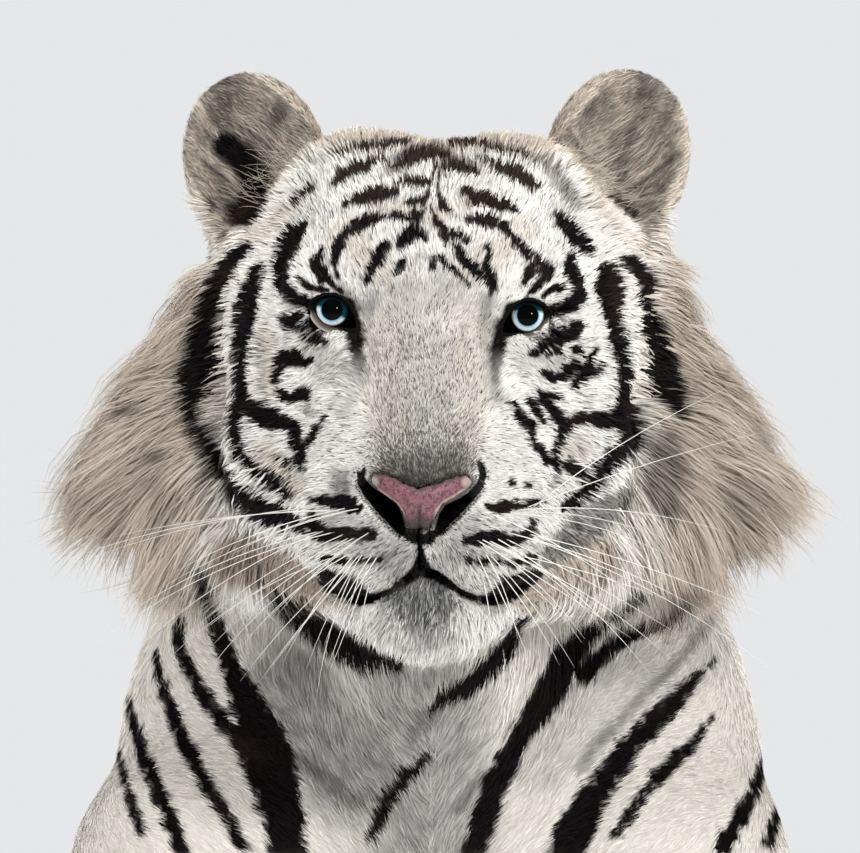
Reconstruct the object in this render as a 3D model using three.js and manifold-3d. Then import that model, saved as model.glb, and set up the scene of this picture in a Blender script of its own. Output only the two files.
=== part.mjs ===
// White tiger, sitting upright, life size.
// Millimetres, +Z up, the floor at Z = 0. The animal faces -Y, so its own left side is at +X.
import * as THREE from "three";
import Module from "manifold-3d";

const wasm = await Module();
wasm.setup();

// ---------------------------------------------------------------- sizes
const GAP = 0.4; // clear space left by every cut between two nodes
const FLOOR_SINK = 5; // how far the soft undersides are pressed flat on the floor

const EYE_HEIGHT = 1030; // height of the line between the eyes
const FACE_Y = -350; // the plane of the eyes
const HEAD_ROLL = 1.7; // degrees, the crown leans to the animal's left
const HEAD_YAW = 1.5; // degrees, the nose turns to the animal's right
const EYE_SPREAD = 62.5; // half the distance between the eyes
const EYE_RADIUS = 19;
const EYE_DEPTH = -13; // centre of the eyeball behind the plane of the lids

const HEAD_BLEND = 22; // rounding where the forms of the head run together
const BODY_BLEND = 55; // the same for trunk and neck
const LIMB_BLEND = 34; // the same where a limb joins
const TOE_BLEND = 7;

// Size of the facets on each form, across, along and up.
const CELL = {
  skull: [27, 27, 26],
  snout: [16, 17, 16],
  nose: [11, 12, 10],
  ear: [13.5, 12, 15],
  neck: [56, 56, 56],
  trunk: [60, 66, 62],
  foreleg: [36, 36, 80],
  paw: [24, 30, 27],
  hock: [36, 64, 31],
};

const COLOUR = {
  fur: 0xe9e4dc,
  nose: 0xb06a7c,
  eye: 0xbcd6e0,
};

// ---------------------------------------------------------------- forms as distance functions
const radians = (degrees) => (degrees * Math.PI) / 180;
const FLAT_SLOPE = 1e-9; // below this a form has no direction, as at its very centre

// Ellipsoid about a centre, tipped about X by `tip` and about Y by `lean` degrees.
function egg(centre, radii, tip = 0, lean = 0) {
  const turn = new THREE.Matrix4().makeRotationFromEuler(
    new THREE.Euler(radians(tip), radians(lean), 0),
  );
  const e = turn.clone().invert().elements;
  const [rx, ry, rz] = radii;
  return (x, y, z) => {
    const dx = x - centre[0];
    const dy = y - centre[1];
    const dz = z - centre[2];
    const ax = (e[0] * dx + e[4] * dy + e[8] * dz) / rx;
    const ay = (e[1] * dx + e[5] * dy + e[9] * dz) / ry;
    const az = (e[2] * dx + e[6] * dy + e[10] * dz) / rz;
    const near = Math.hypot(ax, ay, az);
    const slope = Math.hypot(ax / rx, ay / ry, az / rz);
    return slope < FLAT_SLOPE ? -Math.min(rx, ry, rz) : (near * (near - 1)) / slope;
  };
}

// Tapering limb with round ends.
function limb(a, b, ra, rb) {
  const axis = [b[0] - a[0], b[1] - a[1], b[2] - a[2]];
  const long2 = axis[0] ** 2 + axis[1] ** 2 + axis[2] ** 2;
  return (x, y, z) => {
    const dx = x - a[0];
    const dy = y - a[1];
    const dz = z - a[2];
    const share = (dx * axis[0] + dy * axis[1] + dz * axis[2]) / long2;
    const t = Math.min(1, Math.max(0, share));
    const gap = Math.hypot(dx - t * axis[0], dy - t * axis[1], dz - t * axis[2]);
    return gap - (ra + (rb - ra) * t);
  };
}

// Several forms run together with a fillet of about `soft`.
function blend(forms, soft) {
  return (x, y, z) => {
    let d = forms[0](x, y, z);
    for (let i = 1; i < forms.length; i += 1) {
      const other = forms[i](x, y, z);
      const near = Math.max(soft - Math.abs(d - other), 0) / soft;
      d = Math.min(d, other) - near * near * soft * 0.25;
    }
    return d;
  };
}

// A form with another hollowed out of it, the rim rounded by about `soft`.
function carve(form, hollow, soft) {
  return (x, y, z) => {
    const d = form(x, y, z);
    const other = -hollow(x, y, z);
    const near = Math.max(soft - Math.abs(d - other), 0) / soft;
    return Math.max(d, other) + near * near * soft * 0.25;
  };
}

// The same forms on both sides of the body.
const bothSides = (make) => [make(1), make(-1)];

// ---------------------------------------------------------------- the head
// Head forms are placed as [across, forward, up] from the point midway between the eyes.
const headTurn = new THREE.Matrix4().makeRotationFromEuler(
  new THREE.Euler(0, radians(HEAD_ROLL), radians(-HEAD_YAW)),
);
const headPlace = new THREE.Matrix4().makeTranslation(0, FACE_Y, EYE_HEIGHT).multiply(headTurn);
const headBack = headPlace.clone().invert().elements;

const h = (across, forward, up) => [across, -forward, up];

function onHead(form) {
  const e = headBack;
  return (x, y, z) =>
    form(
      e[0] * x + e[4] * y + e[8] * z + e[12],
      e[1] * x + e[5] * y + e[9] * z + e[13],
      e[2] * x + e[6] * y + e[10] * z + e[14],
    );
}

const skullForms = [
  egg(h(0, -112, 18), [112, 122, 104]), // brain case and the muscle over it
  ...bothSides((s) => egg(h(s * 52, -98, 70), [58, 78, 54])), // flat crown between the ears
  egg(h(0, -44, 30), [84, 60, 62]), // forehead
  ...bothSides((s) => egg(h(s * 54, -28, 24), [42, 32, 26])), // brow over each eye
  ...bothSides((s) => egg(h(s * 62, -40, -12), [40, 28, 30])), // floor of the eye socket
  ...bothSides((s) => egg(h(s * 90, -66, -24), [46, 52, 48])), // cheekbone
  ...bothSides((s) => egg(h(s * 78, -54, -84), [62, 64, 74])), // cheek
  ...bothSides((s) => egg(h(s * 100, -112, 16), [52, 72, 76])), // temple and ear base
];
const muzzleForms = [
  limb(h(0, -20, -14), h(0, 62, -108), 40, 38), // bridge of the nose
  egg(h(0, 74, -114), [32, 30, 25]), // end of the nose
  egg(h(0, -10, -120), [66, 66, 56]), // core of the snout
  ...bothSides((s) => egg(h(s * 42, -4, -78), [44, 46, 62])), // side of the snout
  ...bothSides((s) => egg(h(s * 37, 50, -144), [42, 44, 37])), // whisker pad
  ...bothSides((s) => egg(h(s * 54, 4, -134), [34, 50, 42])), // side of the upper lip
];
const jawForms = [
  egg(h(0, 40, -190), [43, 34, 35]), // chin
  ...bothSides((s) => limb(h(s * 22, 18, -184), h(s * 82, -92, -132), 38, 54)), // jaw bone
];
const ruffForms = [
  ...bothSides((s) => limb(h(s * 114, -132, 14), h(s * 180, -146, -102), 54, 70)), // cheek ruff
  ...bothSides((s) => egg(h(s * 120, -150, -84), [96, 92, 108])), // and its root on the neck
  ...bothSides((s) => limb(h(s * 150, -126, -138), h(s * 40, -70, -180), 50, 50)), // throat ruff
];

// Cupped ear: a deep bowl set on its edge, open to the front and a little outward.
const EAR = { across: 124, forward: -132, up: 102, wide: 50, thick: 31, tall: 63, lean: 13 };
const EAR_ROOT = { inward: 14, down: 46, radii: [44, 34, 34] };
const EAR_CUP = { outward: 4, forward: 27, up: 3, wall: 12 };
const EAR_BLEND = 12;
const EAR_RIM = 9;
const LEFT_EAR = { inward: 5, up: 9 }; // the left ear is held higher and closer than the right
function ear(s) {
  const { forward, wide, thick, tall, lean } = EAR;
  const across = EAR.across - (s > 0 ? LEFT_EAR.inward : 0);
  const up = EAR.up + (s > 0 ? LEFT_EAR.up : 0);
  const shell = egg(h(s * across, forward, up), [wide, thick, tall], 0, s * lean);
  const root = egg(
    h(s * (EAR.across - EAR_ROOT.inward), forward, EAR.up - EAR_ROOT.down),
    EAR_ROOT.radii,
  );
  const cup = egg(
    h(s * (across + EAR_CUP.outward), forward + EAR_CUP.forward, up + EAR_CUP.up),
    [wide - EAR_CUP.wall, thick, tall - EAR_CUP.wall],
    0,
    s * lean,
  );
  return onHead(carve(blend([shell, root], EAR_BLEND), cup, EAR_RIM));
}
const headForms = [...skullForms, ...muzzleForms, ...jawForms, ...ruffForms];
const head = onHead(blend(headForms, HEAD_BLEND));

// ---------------------------------------------------------------- neck and trunk
const LEAN = 7; // how far the shoulders sit to the left of the line of the head
const neckForms = [
  limb([0, -200, 985], [LEAN, 10, 830], 128, 170), // neck
  limb([0, -150, 1040], [LEAN, 70, 880], 84, 76), // nape running into the withers
  limb([0, -215, 870], [LEAN, -40, 740], 96, 148), // throat running into the breast
];
const trunkForms = [
  egg([LEAN, 45, 712], [196, 200, 235]), // chest
  limb([0, 100, 670], [0, 420, 470], 210, 216), // ribs
  limb([0, 420, 480], [0, 640, 310], 204, 204), // loin and belly
  egg([0, 680, 215], [215, 178, 220]), // rump
  ...bothSides((s) => egg([LEAN + s * 150, 2, 685], [100, 132, 195], -12)), // shoulder
];

// ---------------------------------------------------------------- legs
function foreleg(s) {
  return [
    limb([s * 170, -70, 640], [s * 148, 15, 520], 98, 88), // upper arm
    limb([s * 145, 12, 515], [s * 126, -42, 215], 86, 60), // forearm
    limb([s * 126, -42, 215], [s * 124, -64, 70], 60, 57), // wrist
  ];
}

// Foot of four toes; each part as its place behind and above the front of the foot, and radii.
const PAW = {
  back: { behind: 62, up: 42, radii: [58, 78, 50] },
  ball: { behind: 22, up: 36, radii: [66, 60, 42] },
  toe: { behind: -30, up: 27, radii: [19, 36, 30] },
  toes: 4,
  toeSpread: 29,
  outerToesBack: 14,
  splay: 6, // the toes point a little outward
};
function paw(x, y, size, s) {
  const part = ({ behind, up, radii }, across, back) =>
    egg([x + across, y + behind * size + back, up * size], radii.map((r) => r * size));
  const forms = [part(PAW.back, 0, 0), part(PAW.ball, 0, 0)];
  for (let toe = 0; toe < PAW.toes; toe += 1) {
    const place = toe - (PAW.toes - 1) / 2;
    const back = Math.abs(place) > 1 ? PAW.outerToesBack : 0;
    forms.push(part(PAW.toe, place * PAW.toeSpread * size + s * PAW.splay, back));
  }
  return blend(forms, TOE_BLEND);
}
const FOREPAW = { x: 124, y: -130, size: 1.14 };
const HINDPAW = { x: 236, y: 262, size: 1.02 };

function hindleg(s) {
  return [
    egg([s * 196, 560, 235], [100, 205, 190], 12), // thigh
    limb([s * 218, 395, 275], [s * 222, 470, 200], 92, 92), // knee
    limb([s * 222, 440, 180], [s * 222, 640, 90], 84, 62), // shank
    limb([s * 222, 664, 47], [s * 232, 380, 39], 52, 44), // hock and long foot
  ];
}

// ---------------------------------------------------------------- tail
// Root first; it leaves the rump, drops to the floor and comes round the left side.
const TAIL_ROOT = 44;
const TAIL_TIP = 27;
const TAIL_PATH = new THREE.CatmullRomCurve3(
  [
    [0, 796, 128],
    [34, 872, 66],
    [150, 938, 35],
    [284, 904, 33],
    [372, 792, 31],
    [406, 650, 29],
    [414, 500, 27],
    [398, 370, 25],
    [356, 258, 23],
  ].map((p) => new THREE.Vector3(...p)),
);
const TAIL_STEPS = 22;
const TAIL_SIDES = 9;
const tailPoint = (step) => TAIL_PATH.getPointAt(step / TAIL_STEPS).toArray();
const tailRadius = (step) => TAIL_ROOT + (TAIL_TIP - TAIL_ROOT) * (step / TAIL_STEPS);

// ---------------------------------------------------------------- the whole animal but its tail
const trunk = blend([...neckForms, ...trunkForms], BODY_BLEND);
const legs = bothSides((s) => blend([...foreleg(s), ...hindleg(s)], LIMB_BLEND));
const paws = bothSides((s) => [
  paw(s * FOREPAW.x, FOREPAW.y, FOREPAW.size, s),
  paw(s * HINDPAW.x, HINDPAW.y, HINDPAW.size, s),
]).flat();
const flesh = blend([blend([trunk, head, ...legs], LIMB_BLEND), ...paws], TOE_BLEND);

// ---------------------------------------------------------------- forms to facets
const JUST_OUTSIDE = 1e-6; // stands for a distance of exactly nothing
const FILLED = -1e-3; // distance given to a grid point that is filled in
const BITS = [1, 2, 4]; // the eight corners of a cell are numbered by these steps along each axis
const CORNERS = [0, 1, 2, 3, 4, 5, 6, 7].map((c) => BITS.map((bit) => (c & bit ? 1 : 0)));
const EDGES = CORNERS.flatMap((_, c) => BITS.filter((bit) => !(c & bit)).map((bit) => [c, c | bit]));

// Surface of a form inside a box, with facets about one cell in size.
function facets(form, low, high, cell) {
  const count = low.map((v, k) => Math.ceil((high[k] - v) / cell[k]) + 3);
  const start = low.map((v, k) => v - cell[k]);
  const [nx, ny, nz] = count;
  const boxed = (x, y, z) =>
    Math.max(
      form(x, y, z),
      low[0] - x, x - high[0],
      low[1] - y, y - high[1],
      low[2] - z, z - high[2],
    );
  const value = new Float64Array(nx * ny * nz);
  const at = (i, j, k) => (k * ny + j) * nx + i;
  for (let k = 0; k < nz; k += 1) {
    for (let j = 0; j < ny; j += 1) {
      for (let i = 0; i < nx; i += 1) {
        const p = [i, j, k].map((step, axis) => start[axis] + step * cell[axis]);
        value[at(i, j, k)] = boxed(...p) || JUST_OUTSIDE;
      }
    }
  }
  fillPinches(value, [nx, ny, nz]);
  const points = [];
  const index = new Map();
  for (let k = 0; k < nz - 1; k += 1) {
    for (let j = 0; j < ny - 1; j += 1) {
      for (let i = 0; i < nx - 1; i += 1) {
        const v = CORNERS.map(([a, b, c]) => value[at(i + a, j + b, k + c)]);
        const sum = [0, 0, 0];
        let crossings = 0;
        for (const [a, b] of EDGES) {
          if (v[a] < 0 === v[b] < 0) continue;
          const t = v[a] / (v[a] - v[b]);
          for (let n = 0; n < 3; n += 1) {
            sum[n] += CORNERS[a][n] + t * (CORNERS[b][n] - CORNERS[a][n]);
          }
          crossings += 1;
        }
        if (!crossings) continue;
        index.set(at(i, j, k), points.length / 3);
        const base = [i, j, k];
        points.push(...sum.map((part, n) => start[n] + (base[n] + part / crossings) * cell[n]));
      }
    }
  }
  settle(points, boxed, Math.min(...cell));
  const triangles = [];
  const quad = (a, b, c, d, flip) => {
    const [p, q, r, s] = flip ? [a, d, c, b] : [a, b, c, d];
    if (apart(points, p, r) <= apart(points, q, s)) triangles.push(p, q, r, p, r, s);
    else triangles.push(p, q, s, q, r, s);
  };
  for (let k = 1; k < nz - 1; k += 1) {
    for (let j = 1; j < ny - 1; j += 1) {
      for (let i = 1; i < nx - 1; i += 1) {
        const here = value[at(i, j, k)] < 0;
        const cellAt = (di, dj, dk) => index.get(at(i - di, j - dj, k - dk));
        if (here !== value[at(i + 1, j, k)] < 0) {
          quad(cellAt(0, 1, 1), cellAt(0, 0, 1), cellAt(0, 0, 0), cellAt(0, 1, 0), !here);
        }
        if (here !== value[at(i, j + 1, k)] < 0) {
          quad(cellAt(1, 0, 1), cellAt(0, 0, 1), cellAt(0, 0, 0), cellAt(1, 0, 0), here);
        }
        if (here !== value[at(i, j, k + 1)] < 0) {
          quad(cellAt(1, 1, 0), cellAt(0, 1, 0), cellAt(0, 0, 0), cellAt(1, 0, 0), !here);
        }
      }
    }
  }
  return solid(points, triangles);
}

// Fills the places where two sheets of the surface would touch along an edge: a square of
// the grid with flesh at two opposite corners only gets flesh at a third.
function fillPinches(value, [nx, ny, nz]) {
  const steps = [1, nx, nx * ny];
  const sizes = [nx, ny, nz];
  let found = true;
  while (found) {
    found = false;
    for (const [u, v] of [[0, 1], [1, 2], [0, 2]]) {
      for (let n = 0; n < value.length; n += 1) {
        const cellOf = [n % nx, Math.floor(n / nx) % ny, Math.floor(n / (nx * ny))];
        if (cellOf[u] === sizes[u] - 1 || cellOf[v] === sizes[v] - 1) continue;
        const square = [n, n + steps[u], n + steps[u] + steps[v], n + steps[v]];
        const flesh = square.map((m) => value[m] < 0);
        if (flesh[0] !== flesh[2] || flesh[1] !== flesh[3] || flesh[0] === flesh[1]) continue;
        const [a, b] = square.filter((m) => value[m] >= 0);
        value[value[a] < value[b] ? a : b] = FILLED;
        found = true;
      }
    }
  }
}

// Moves the corner points onto the form itself, by no more than a share of a cell.
const SETTLE = { reach: 0.22, rounds: 2, step: 0.5, pull: 0.9, leastSlope: 0.05 };
function settle(points, form, cell) {
  const { step } = SETTLE;
  const most = cell * SETTLE.reach;
  for (let n = 0; n < points.length; n += 3) {
    for (let round = 0; round < SETTLE.rounds; round += 1) {
      const [x, y, z] = points.slice(n, n + 3);
      const d = form(x, y, z);
      const slope = [
        (form(x + step, y, z) - form(x - step, y, z)) / (2 * step),
        (form(x, y + step, z) - form(x, y - step, z)) / (2 * step),
        (form(x, y, z + step) - form(x, y, z - step)) / (2 * step),
      ];
      const steep = slope[0] ** 2 + slope[1] ** 2 + slope[2] ** 2;
      if (steep < SETTLE.leastSlope) continue;
      const move = (Math.max(-most, Math.min(most, d)) / steep) * SETTLE.pull;
      for (let axis = 0; axis < 3; axis += 1) points[n + axis] -= slope[axis] * move;
    }
  }
}

function apart(points, a, b) {
  return Math.hypot(
    points[a * 3] - points[b * 3],
    points[a * 3 + 1] - points[b * 3 + 1],
    points[a * 3 + 2] - points[b * 3 + 2],
  );
}

function solid(points, triangles) {
  return new wasm.Manifold(
    new wasm.Mesh({
      numProp: 3,
      vertProperties: Float32Array.from(points),
      triVerts: Uint32Array.from(triangles),
    }),
  );
}

// Closed body from a three.js geometry, with points that coincide made one.
const PER_POINT = 1e4; // points nearer than one part in this of a millimetre are the same
function fromGeometry(geometry) {
  const place = geometry.attributes.position;
  const seen = new Map();
  const points = [];
  const renumber = [];
  for (let n = 0; n < place.count; n += 1) {
    const p = [place.getX(n), place.getY(n), place.getZ(n)];
    const key = p.map((v) => Math.round(v * PER_POINT)).join();
    if (!seen.has(key)) {
      seen.set(key, points.length / 3);
      points.push(...p);
    }
    renumber.push(seen.get(key));
  }
  const order = geometry.index ? Array.from(geometry.index.array) : renumber.map((_, n) => n);
  const triangles = [];
  for (let n = 0; n < order.length; n += 3) {
    const [a, b, c] = [0, 1, 2].map((m) => renumber[order[n + m]]);
    if (a !== b && b !== c && c !== a) triangles.push(a, b, c);
  }
  return solid(points, triangles);
}

// ---------------------------------------------------------------- knives
const KNIFE = 4000; // edge of the blocks that cut

// Everything behind a plane that faces along `away`, with the plane moved out by `grow`.
function behind(plane, grow) {
  const knife = new THREE.BoxGeometry(KNIFE, KNIFE, KNIFE);
  const down = new THREE.Vector3(0, 0, -1);
  const normal = new THREE.Vector3(...plane.away).normalize();
  knife.translate(0, 0, KNIFE / 2 - grow);
  const turn = new THREE.Quaternion().setFromUnitVectors(down, normal);
  knife.applyQuaternion(turn);
  knife.translate(...plane.at);
  return fromGeometry(knife);
}

// The room enclosed by several planes that face out of it.
const room = (planes, grow) =>
  planes.map((plane) => behind(plane, grow)).reduce((a, b) => a.intersect(b));

// What a body has inside a room, and what is left of it outside, half a gap from each wall.
const inside = (body, planes) => body.intersect(room(planes, -GAP / 2));
const outside = (body, planes) => body.subtract(room(planes, GAP / 2));

const flip = (plane) => ({ at: plane.at, away: plane.away.map((v) => -v) });

// A plane given on the head, as [across, forward, up].
function onHeadPlane(at, away) {
  const point = new THREE.Vector3(...h(...at)).applyMatrix4(headPlace);
  const normal = new THREE.Vector3(...h(...away)).transformDirection(headPlace);
  return { at: point.toArray(), away: normal.toArray() };
}

// A plane square to the tail, facing its tip.
function tailPlane(step) {
  return {
    at: tailPoint(step),
    away: TAIL_PATH.getTangentAt(step / TAIL_STEPS).toArray(),
  };
}

// ---------------------------------------------------------------- where the body is parted
const FLOOR = { at: [0, 0, -GAP / 2], away: [0, 0, -1] };
const HEAD_BACK = { at: [0, -168, 925], away: [0, 0.85, -0.53] };
const NECK_BACK = { at: [0, -12, 838], away: [0, 0.6, -0.8] };
const SNOUT_BACK = onHeadPlane([0, 25, -70], [0, -0.92, 0.39]);
const JAW_TOP = onHeadPlane([0, 82, -161], [0, -0.29, 0.957]);
const ELBOW = { at: [0, 0, 450], away: [0, 0.53, 0.85] };
const WRIST = { at: [0, 0, 98], away: [0, 0, 1] };
const LEG_BACK = { at: [0, 190, 0], away: [0, 1, 0] };
const shoulderInner = (s) => ({ at: [s * 138, 0, 700], away: [-s, 0, -0.1] });
const SHOULDER_BACK = { at: [0, 150, 650], away: [0, 1, 0.2] };
const thighInner = (s) => ({ at: [s * 146, 560, 200], away: [-s, 0, 0.02] });
const THIGH_FRONT = { at: [0, 270, 0], away: [0, -1, 0] };
const THIGH_TOP = { at: [0, 560, 438], away: [0, 0.3, 1] };
const ANKLE = { at: [0, 0, 96], away: [0, 0, 1] };
const TOES_BACK = { at: [0, 372, 0], away: [0, 1, 0] };
const TAIL_CUTS = { root: [null, 9], middle: [9, 15], tip: [15, null] }; // steps along it
const midline = (s) => ({ at: [0, 0, 0], away: [-s, 0, 0] });

const foreRoom = [ELBOW, LEG_BACK];
const shoulderRoom = (s) => [shoulderInner(s), SHOULDER_BACK, flip(ELBOW), flip(NECK_BACK)];
const thighRoom = (s) => [thighInner(s), THIGH_FRONT, THIGH_TOP, flip(ANKLE)];
const hindfootRoom = (s) => [thighInner(s), ANKLE, flip(LEG_BACK)];

// ---------------------------------------------------------------- nodes
const group = new THREE.Group();
group.name = "white_tiger";

function add(name, body, colour, roughness) {
  const mesh = body.getMesh();
  const points = [];
  for (let n = 0; n < mesh.numVert; n += 1) {
    const base = n * mesh.numProp;
    points.push(...mesh.vertProperties.slice(base, base + 3));
  }
  const geometry = new THREE.BufferGeometry();
  geometry.setAttribute("position", new THREE.Float32BufferAttribute(points, 3));
  geometry.setIndex(Array.from(mesh.triVerts));
  geometry.computeVertexNormals();
  const material = new THREE.MeshStandardMaterial({ color: colour, roughness, metalness: 0 });
  const node = new THREE.Mesh(geometry, material);
  node.name = name;
  group.add(node);
}

const addFlesh = (name, body) => add(name, body, COLOUR.fur, 0.9);

// A block of flesh between two corners, standing on the floor.
const block = (low, high, cell) => inside(facets(flesh, low, high, cell), [FLOOR]);

// The same block a little stouter, which cuts whatever sits on it to fit.
const SEAT = 0.8;
const stout = (x, y, z) => flesh(x, y, z) - SEAT;
const seat = (low, high, cell) => facets(stout, low, high, cell);

// Eyes: whole balls in sockets that open between the lids.
const EYE_FACETS = [12, 8];
const LIDS = { halfWide: 16, halfTall: 12, deep: 16, forward: 4 };
function ball(place, radii) {
  const geometry = new THREE.SphereGeometry(1, ...EYE_FACETS);
  geometry.rotateX(Math.PI / 2);
  geometry.scale(...radii);
  geometry.translate(...place);
  geometry.applyMatrix4(headPlace);
  return fromGeometry(geometry);
}
const eyeball = (s, radius) => ball(h(s * EYE_SPREAD, EYE_DEPTH, 0), [radius, radius, radius]);
const lidOpening = (s) =>
  ball(h(s * EYE_SPREAD, LIDS.forward, 0), [LIDS.halfWide, LIDS.deep, LIDS.halfTall]);
const socket = (s) => eyeball(s, EYE_RADIUS + GAP).add(lidOpening(s));

// Nose leather: a pad let into the end of the nose.
const NOSE = { top: -100, corner: -106, waist: -122, foot: -134, halfWide: 31, halfStem: 9 };
const NOSE_BACK = 74; // how far forward of the eyes the back of the pad lies
const NOSE_REACH = 80;
function nosePad(grow) {
  const wide = NOSE.halfWide + grow;
  const stem = NOSE.halfStem + grow;
  const top = NOSE.top + grow;
  const outline = new THREE.Shape();
  outline.moveTo(-wide, NOSE.corner);
  outline.quadraticCurveTo(-wide * 0.8, top, -wide * 0.5, top - 2);
  outline.quadraticCurveTo(0, top - 9, wide * 0.5, top - 2);
  outline.quadraticCurveTo(wide * 0.8, top, wide, NOSE.corner);
  outline.quadraticCurveTo(stem + 6, NOSE.corner - 6, stem, NOSE.waist);
  outline.lineTo(stem, NOSE.foot - grow);
  outline.lineTo(-stem, NOSE.foot - grow);
  outline.lineTo(-stem, NOSE.waist);
  outline.quadraticCurveTo(-stem - 6, NOSE.corner - 6, -wide, NOSE.corner);
  const prism = new THREE.ExtrudeGeometry(outline, {
    depth: NOSE_REACH,
    bevelEnabled: false,
    curveSegments: 3,
  });
  prism.rotateX(Math.PI / 2);
  prism.translate(0, grow - NOSE_BACK, 0);
  prism.applyMatrix4(headPlace);
  return fromGeometry(prism);
}

// ---- head
const HEAD_BOX = [[-280, -452, 770], [280, -60, 1210], CELL.skull];
const skull = inside(block(...HEAD_BOX), [HEAD_BACK, flip(SNOUT_BACK)]);
addFlesh("head", skull.subtract(socket(1)).subtract(socket(-1)));

const snout = inside(block([-120, -480, 780], [120, -330, 1020], CELL.snout), [SNOUT_BACK]);
addFlesh("muzzle", inside(snout, [flip(JAW_TOP)]).subtract(nosePad(GAP)));
addFlesh("jaw", inside(snout, [JAW_TOP]));
const noseBlock = block([-50, -480, 880], [50, -400, 950], CELL.nose);
add("nose", noseBlock.intersect(nosePad(0)), COLOUR.nose, 0.45);

// ---- neck and trunk
const neckBlock = block([-260, -330, 640], [260, 150, 1170], CELL.neck);
addFlesh("neck", inside(neckBlock, [flip(HEAD_BACK), NECK_BACK]));

const BODY_BOX = [[-330, -260, -FLOOR_SINK], [330, 930, 1060], CELL.trunk];
const bodyBlock = block(...BODY_BOX);
const sides = [1, -1];
const taken = [...sides.map(shoulderRoom), ...sides.map(thighRoom), ...sides.map(hindfootRoom)];
addFlesh("trunk", [foreRoom, ...taken].reduce(outside, inside(bodyBlock, [flip(NECK_BACK)])));

// ---- limbs, ears and eyes of each side
const headSeat = seat(...HEAD_BOX);
for (const [side, s] of [["left", 1], ["right", -1]]) {
  // corners of a box that runs from `inner` to `outer` on this side of the midline
  const span = (inner, outer, [y0, y1], [z0, z1]) => [
    [Math.min(s * inner, s * outer), y0, z0],
    [Math.max(s * inner, s * outer), y1, z1],
  ];
  const forelegBlock = block(...span(5, 280, [-150, 150], [60, 520]), CELL.foreleg);
  const forepawBlock = block(...span(5, 260, [-260, 60], [-FLOOR_SINK, 125]), CELL.paw);
  const hockBlock = block(...span(120, 345, [340, 760], [-FLOOR_SINK, 130]), CELL.hock);
  const hindpawBlock = block(...span(120, 345, [180, 400], [-FLOOR_SINK, 125]), CELL.paw);
  const earBlock = facets(ear(s), ...span(50, 210, [-290, -150], [1030, 1220]), CELL.ear);

  addFlesh(`ear_${side}`, earBlock.subtract(headSeat));
  add(`eye_${side}`, eyeball(s, EYE_RADIUS), COLOUR.eye, 0.15);
  addFlesh(`shoulder_${side}`, inside(bodyBlock, shoulderRoom(s)));
  addFlesh(`foreleg_${side}`, inside(forelegBlock, [ELBOW, LEG_BACK, flip(WRIST)]));
  addFlesh(`forepaw_${side}`, inside(forepawBlock, [WRIST, midline(s)]));
  addFlesh(`thigh_${side}`, inside(bodyBlock, thighRoom(s)));
  addFlesh(`hock_${side}`, inside(hockBlock, [thighInner(s), ANKLE, flip(TOES_BACK)]));
  addFlesh(`hindpaw_${side}`, inside(hindpawBlock, [thighInner(s), ANKLE, TOES_BACK]));
}

// ---- tail, laid on the floor: rings of points along its path, closed to a round tip
const TIP_END = { shrink: 0.75, past: 0.6 }; // the last ring, and how far past the path it lies
const TAIL_TWIST = 0.25; // share of a side, so that no edge lies along the floor
function tailSolid() {
  const points = [];
  const triangles = [];
  const up = new THREE.Vector3(0, 0, 1);
  const rings = [];
  for (let step = 0; step <= TAIL_STEPS; step += 1) rings.push([step, 1, 0]);
  rings.push([TAIL_STEPS, TIP_END.shrink, TIP_END.past]);
  for (const [step, shrink, past] of rings) {
    const centre = TAIL_PATH.getPointAt(step / TAIL_STEPS);
    const ahead = TAIL_PATH.getTangentAt(step / TAIL_STEPS);
    centre.addScaledVector(ahead, past * TAIL_TIP);
    const across = new THREE.Vector3().crossVectors(ahead, up).normalize();
    const over = new THREE.Vector3().crossVectors(across, ahead);
    for (let k = 0; k < TAIL_SIDES; k += 1) {
      const angle = (2 * Math.PI * (k + TAIL_TWIST)) / TAIL_SIDES;
      const spoke = across.clone().multiplyScalar(Math.cos(angle));
      spoke.addScaledVector(over, Math.sin(angle)).multiplyScalar(tailRadius(step) * shrink);
      points.push(...centre.clone().add(spoke).toArray());
    }
  }
  for (let ring = 1; ring < rings.length; ring += 1) {
    for (let k = 0; k < TAIL_SIDES; k += 1) {
      const a = (ring - 1) * TAIL_SIDES + k;
      const b = (ring - 1) * TAIL_SIDES + ((k + 1) % TAIL_SIDES);
      triangles.push(a, a + TAIL_SIDES, b, b, a + TAIL_SIDES, b + TAIL_SIDES);
    }
  }
  const last = (rings.length - 1) * TAIL_SIDES;
  for (let k = 1; k < TAIL_SIDES - 1; k += 1) {
    triangles.push(0, k, k + 1);
    triangles.push(last, last + k + 1, last + k);
  }
  return solid(points, triangles);
}

// The tail bends back on itself, so every length is cut from what the last cut left.
const tail = inside(tailSolid(), [FLOOR]).subtract(seat(...BODY_BOX));
for (const [name, [from, to]] of Object.entries(TAIL_CUTS)) {
  let part = tail;
  if (from !== null) part = inside(part, [flip(tailPlane(from))]);
  if (to !== null) part = inside(part, [tailPlane(to)]);
  addFlesh(`tail_${name}`, part);
}

// The origin lies on the floor under the middle of the animal's bounding box.
const whole = new THREE.Box3().setFromObject(group);
const middle = whole.getCenter(new THREE.Vector3());
for (const node of group.children) node.position.set(-middle.x, -middle.y, -whole.min.z);

export default group;
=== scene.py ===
"""White tiger, sitting: skin, coat, eyes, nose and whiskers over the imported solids."""
import math

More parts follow.
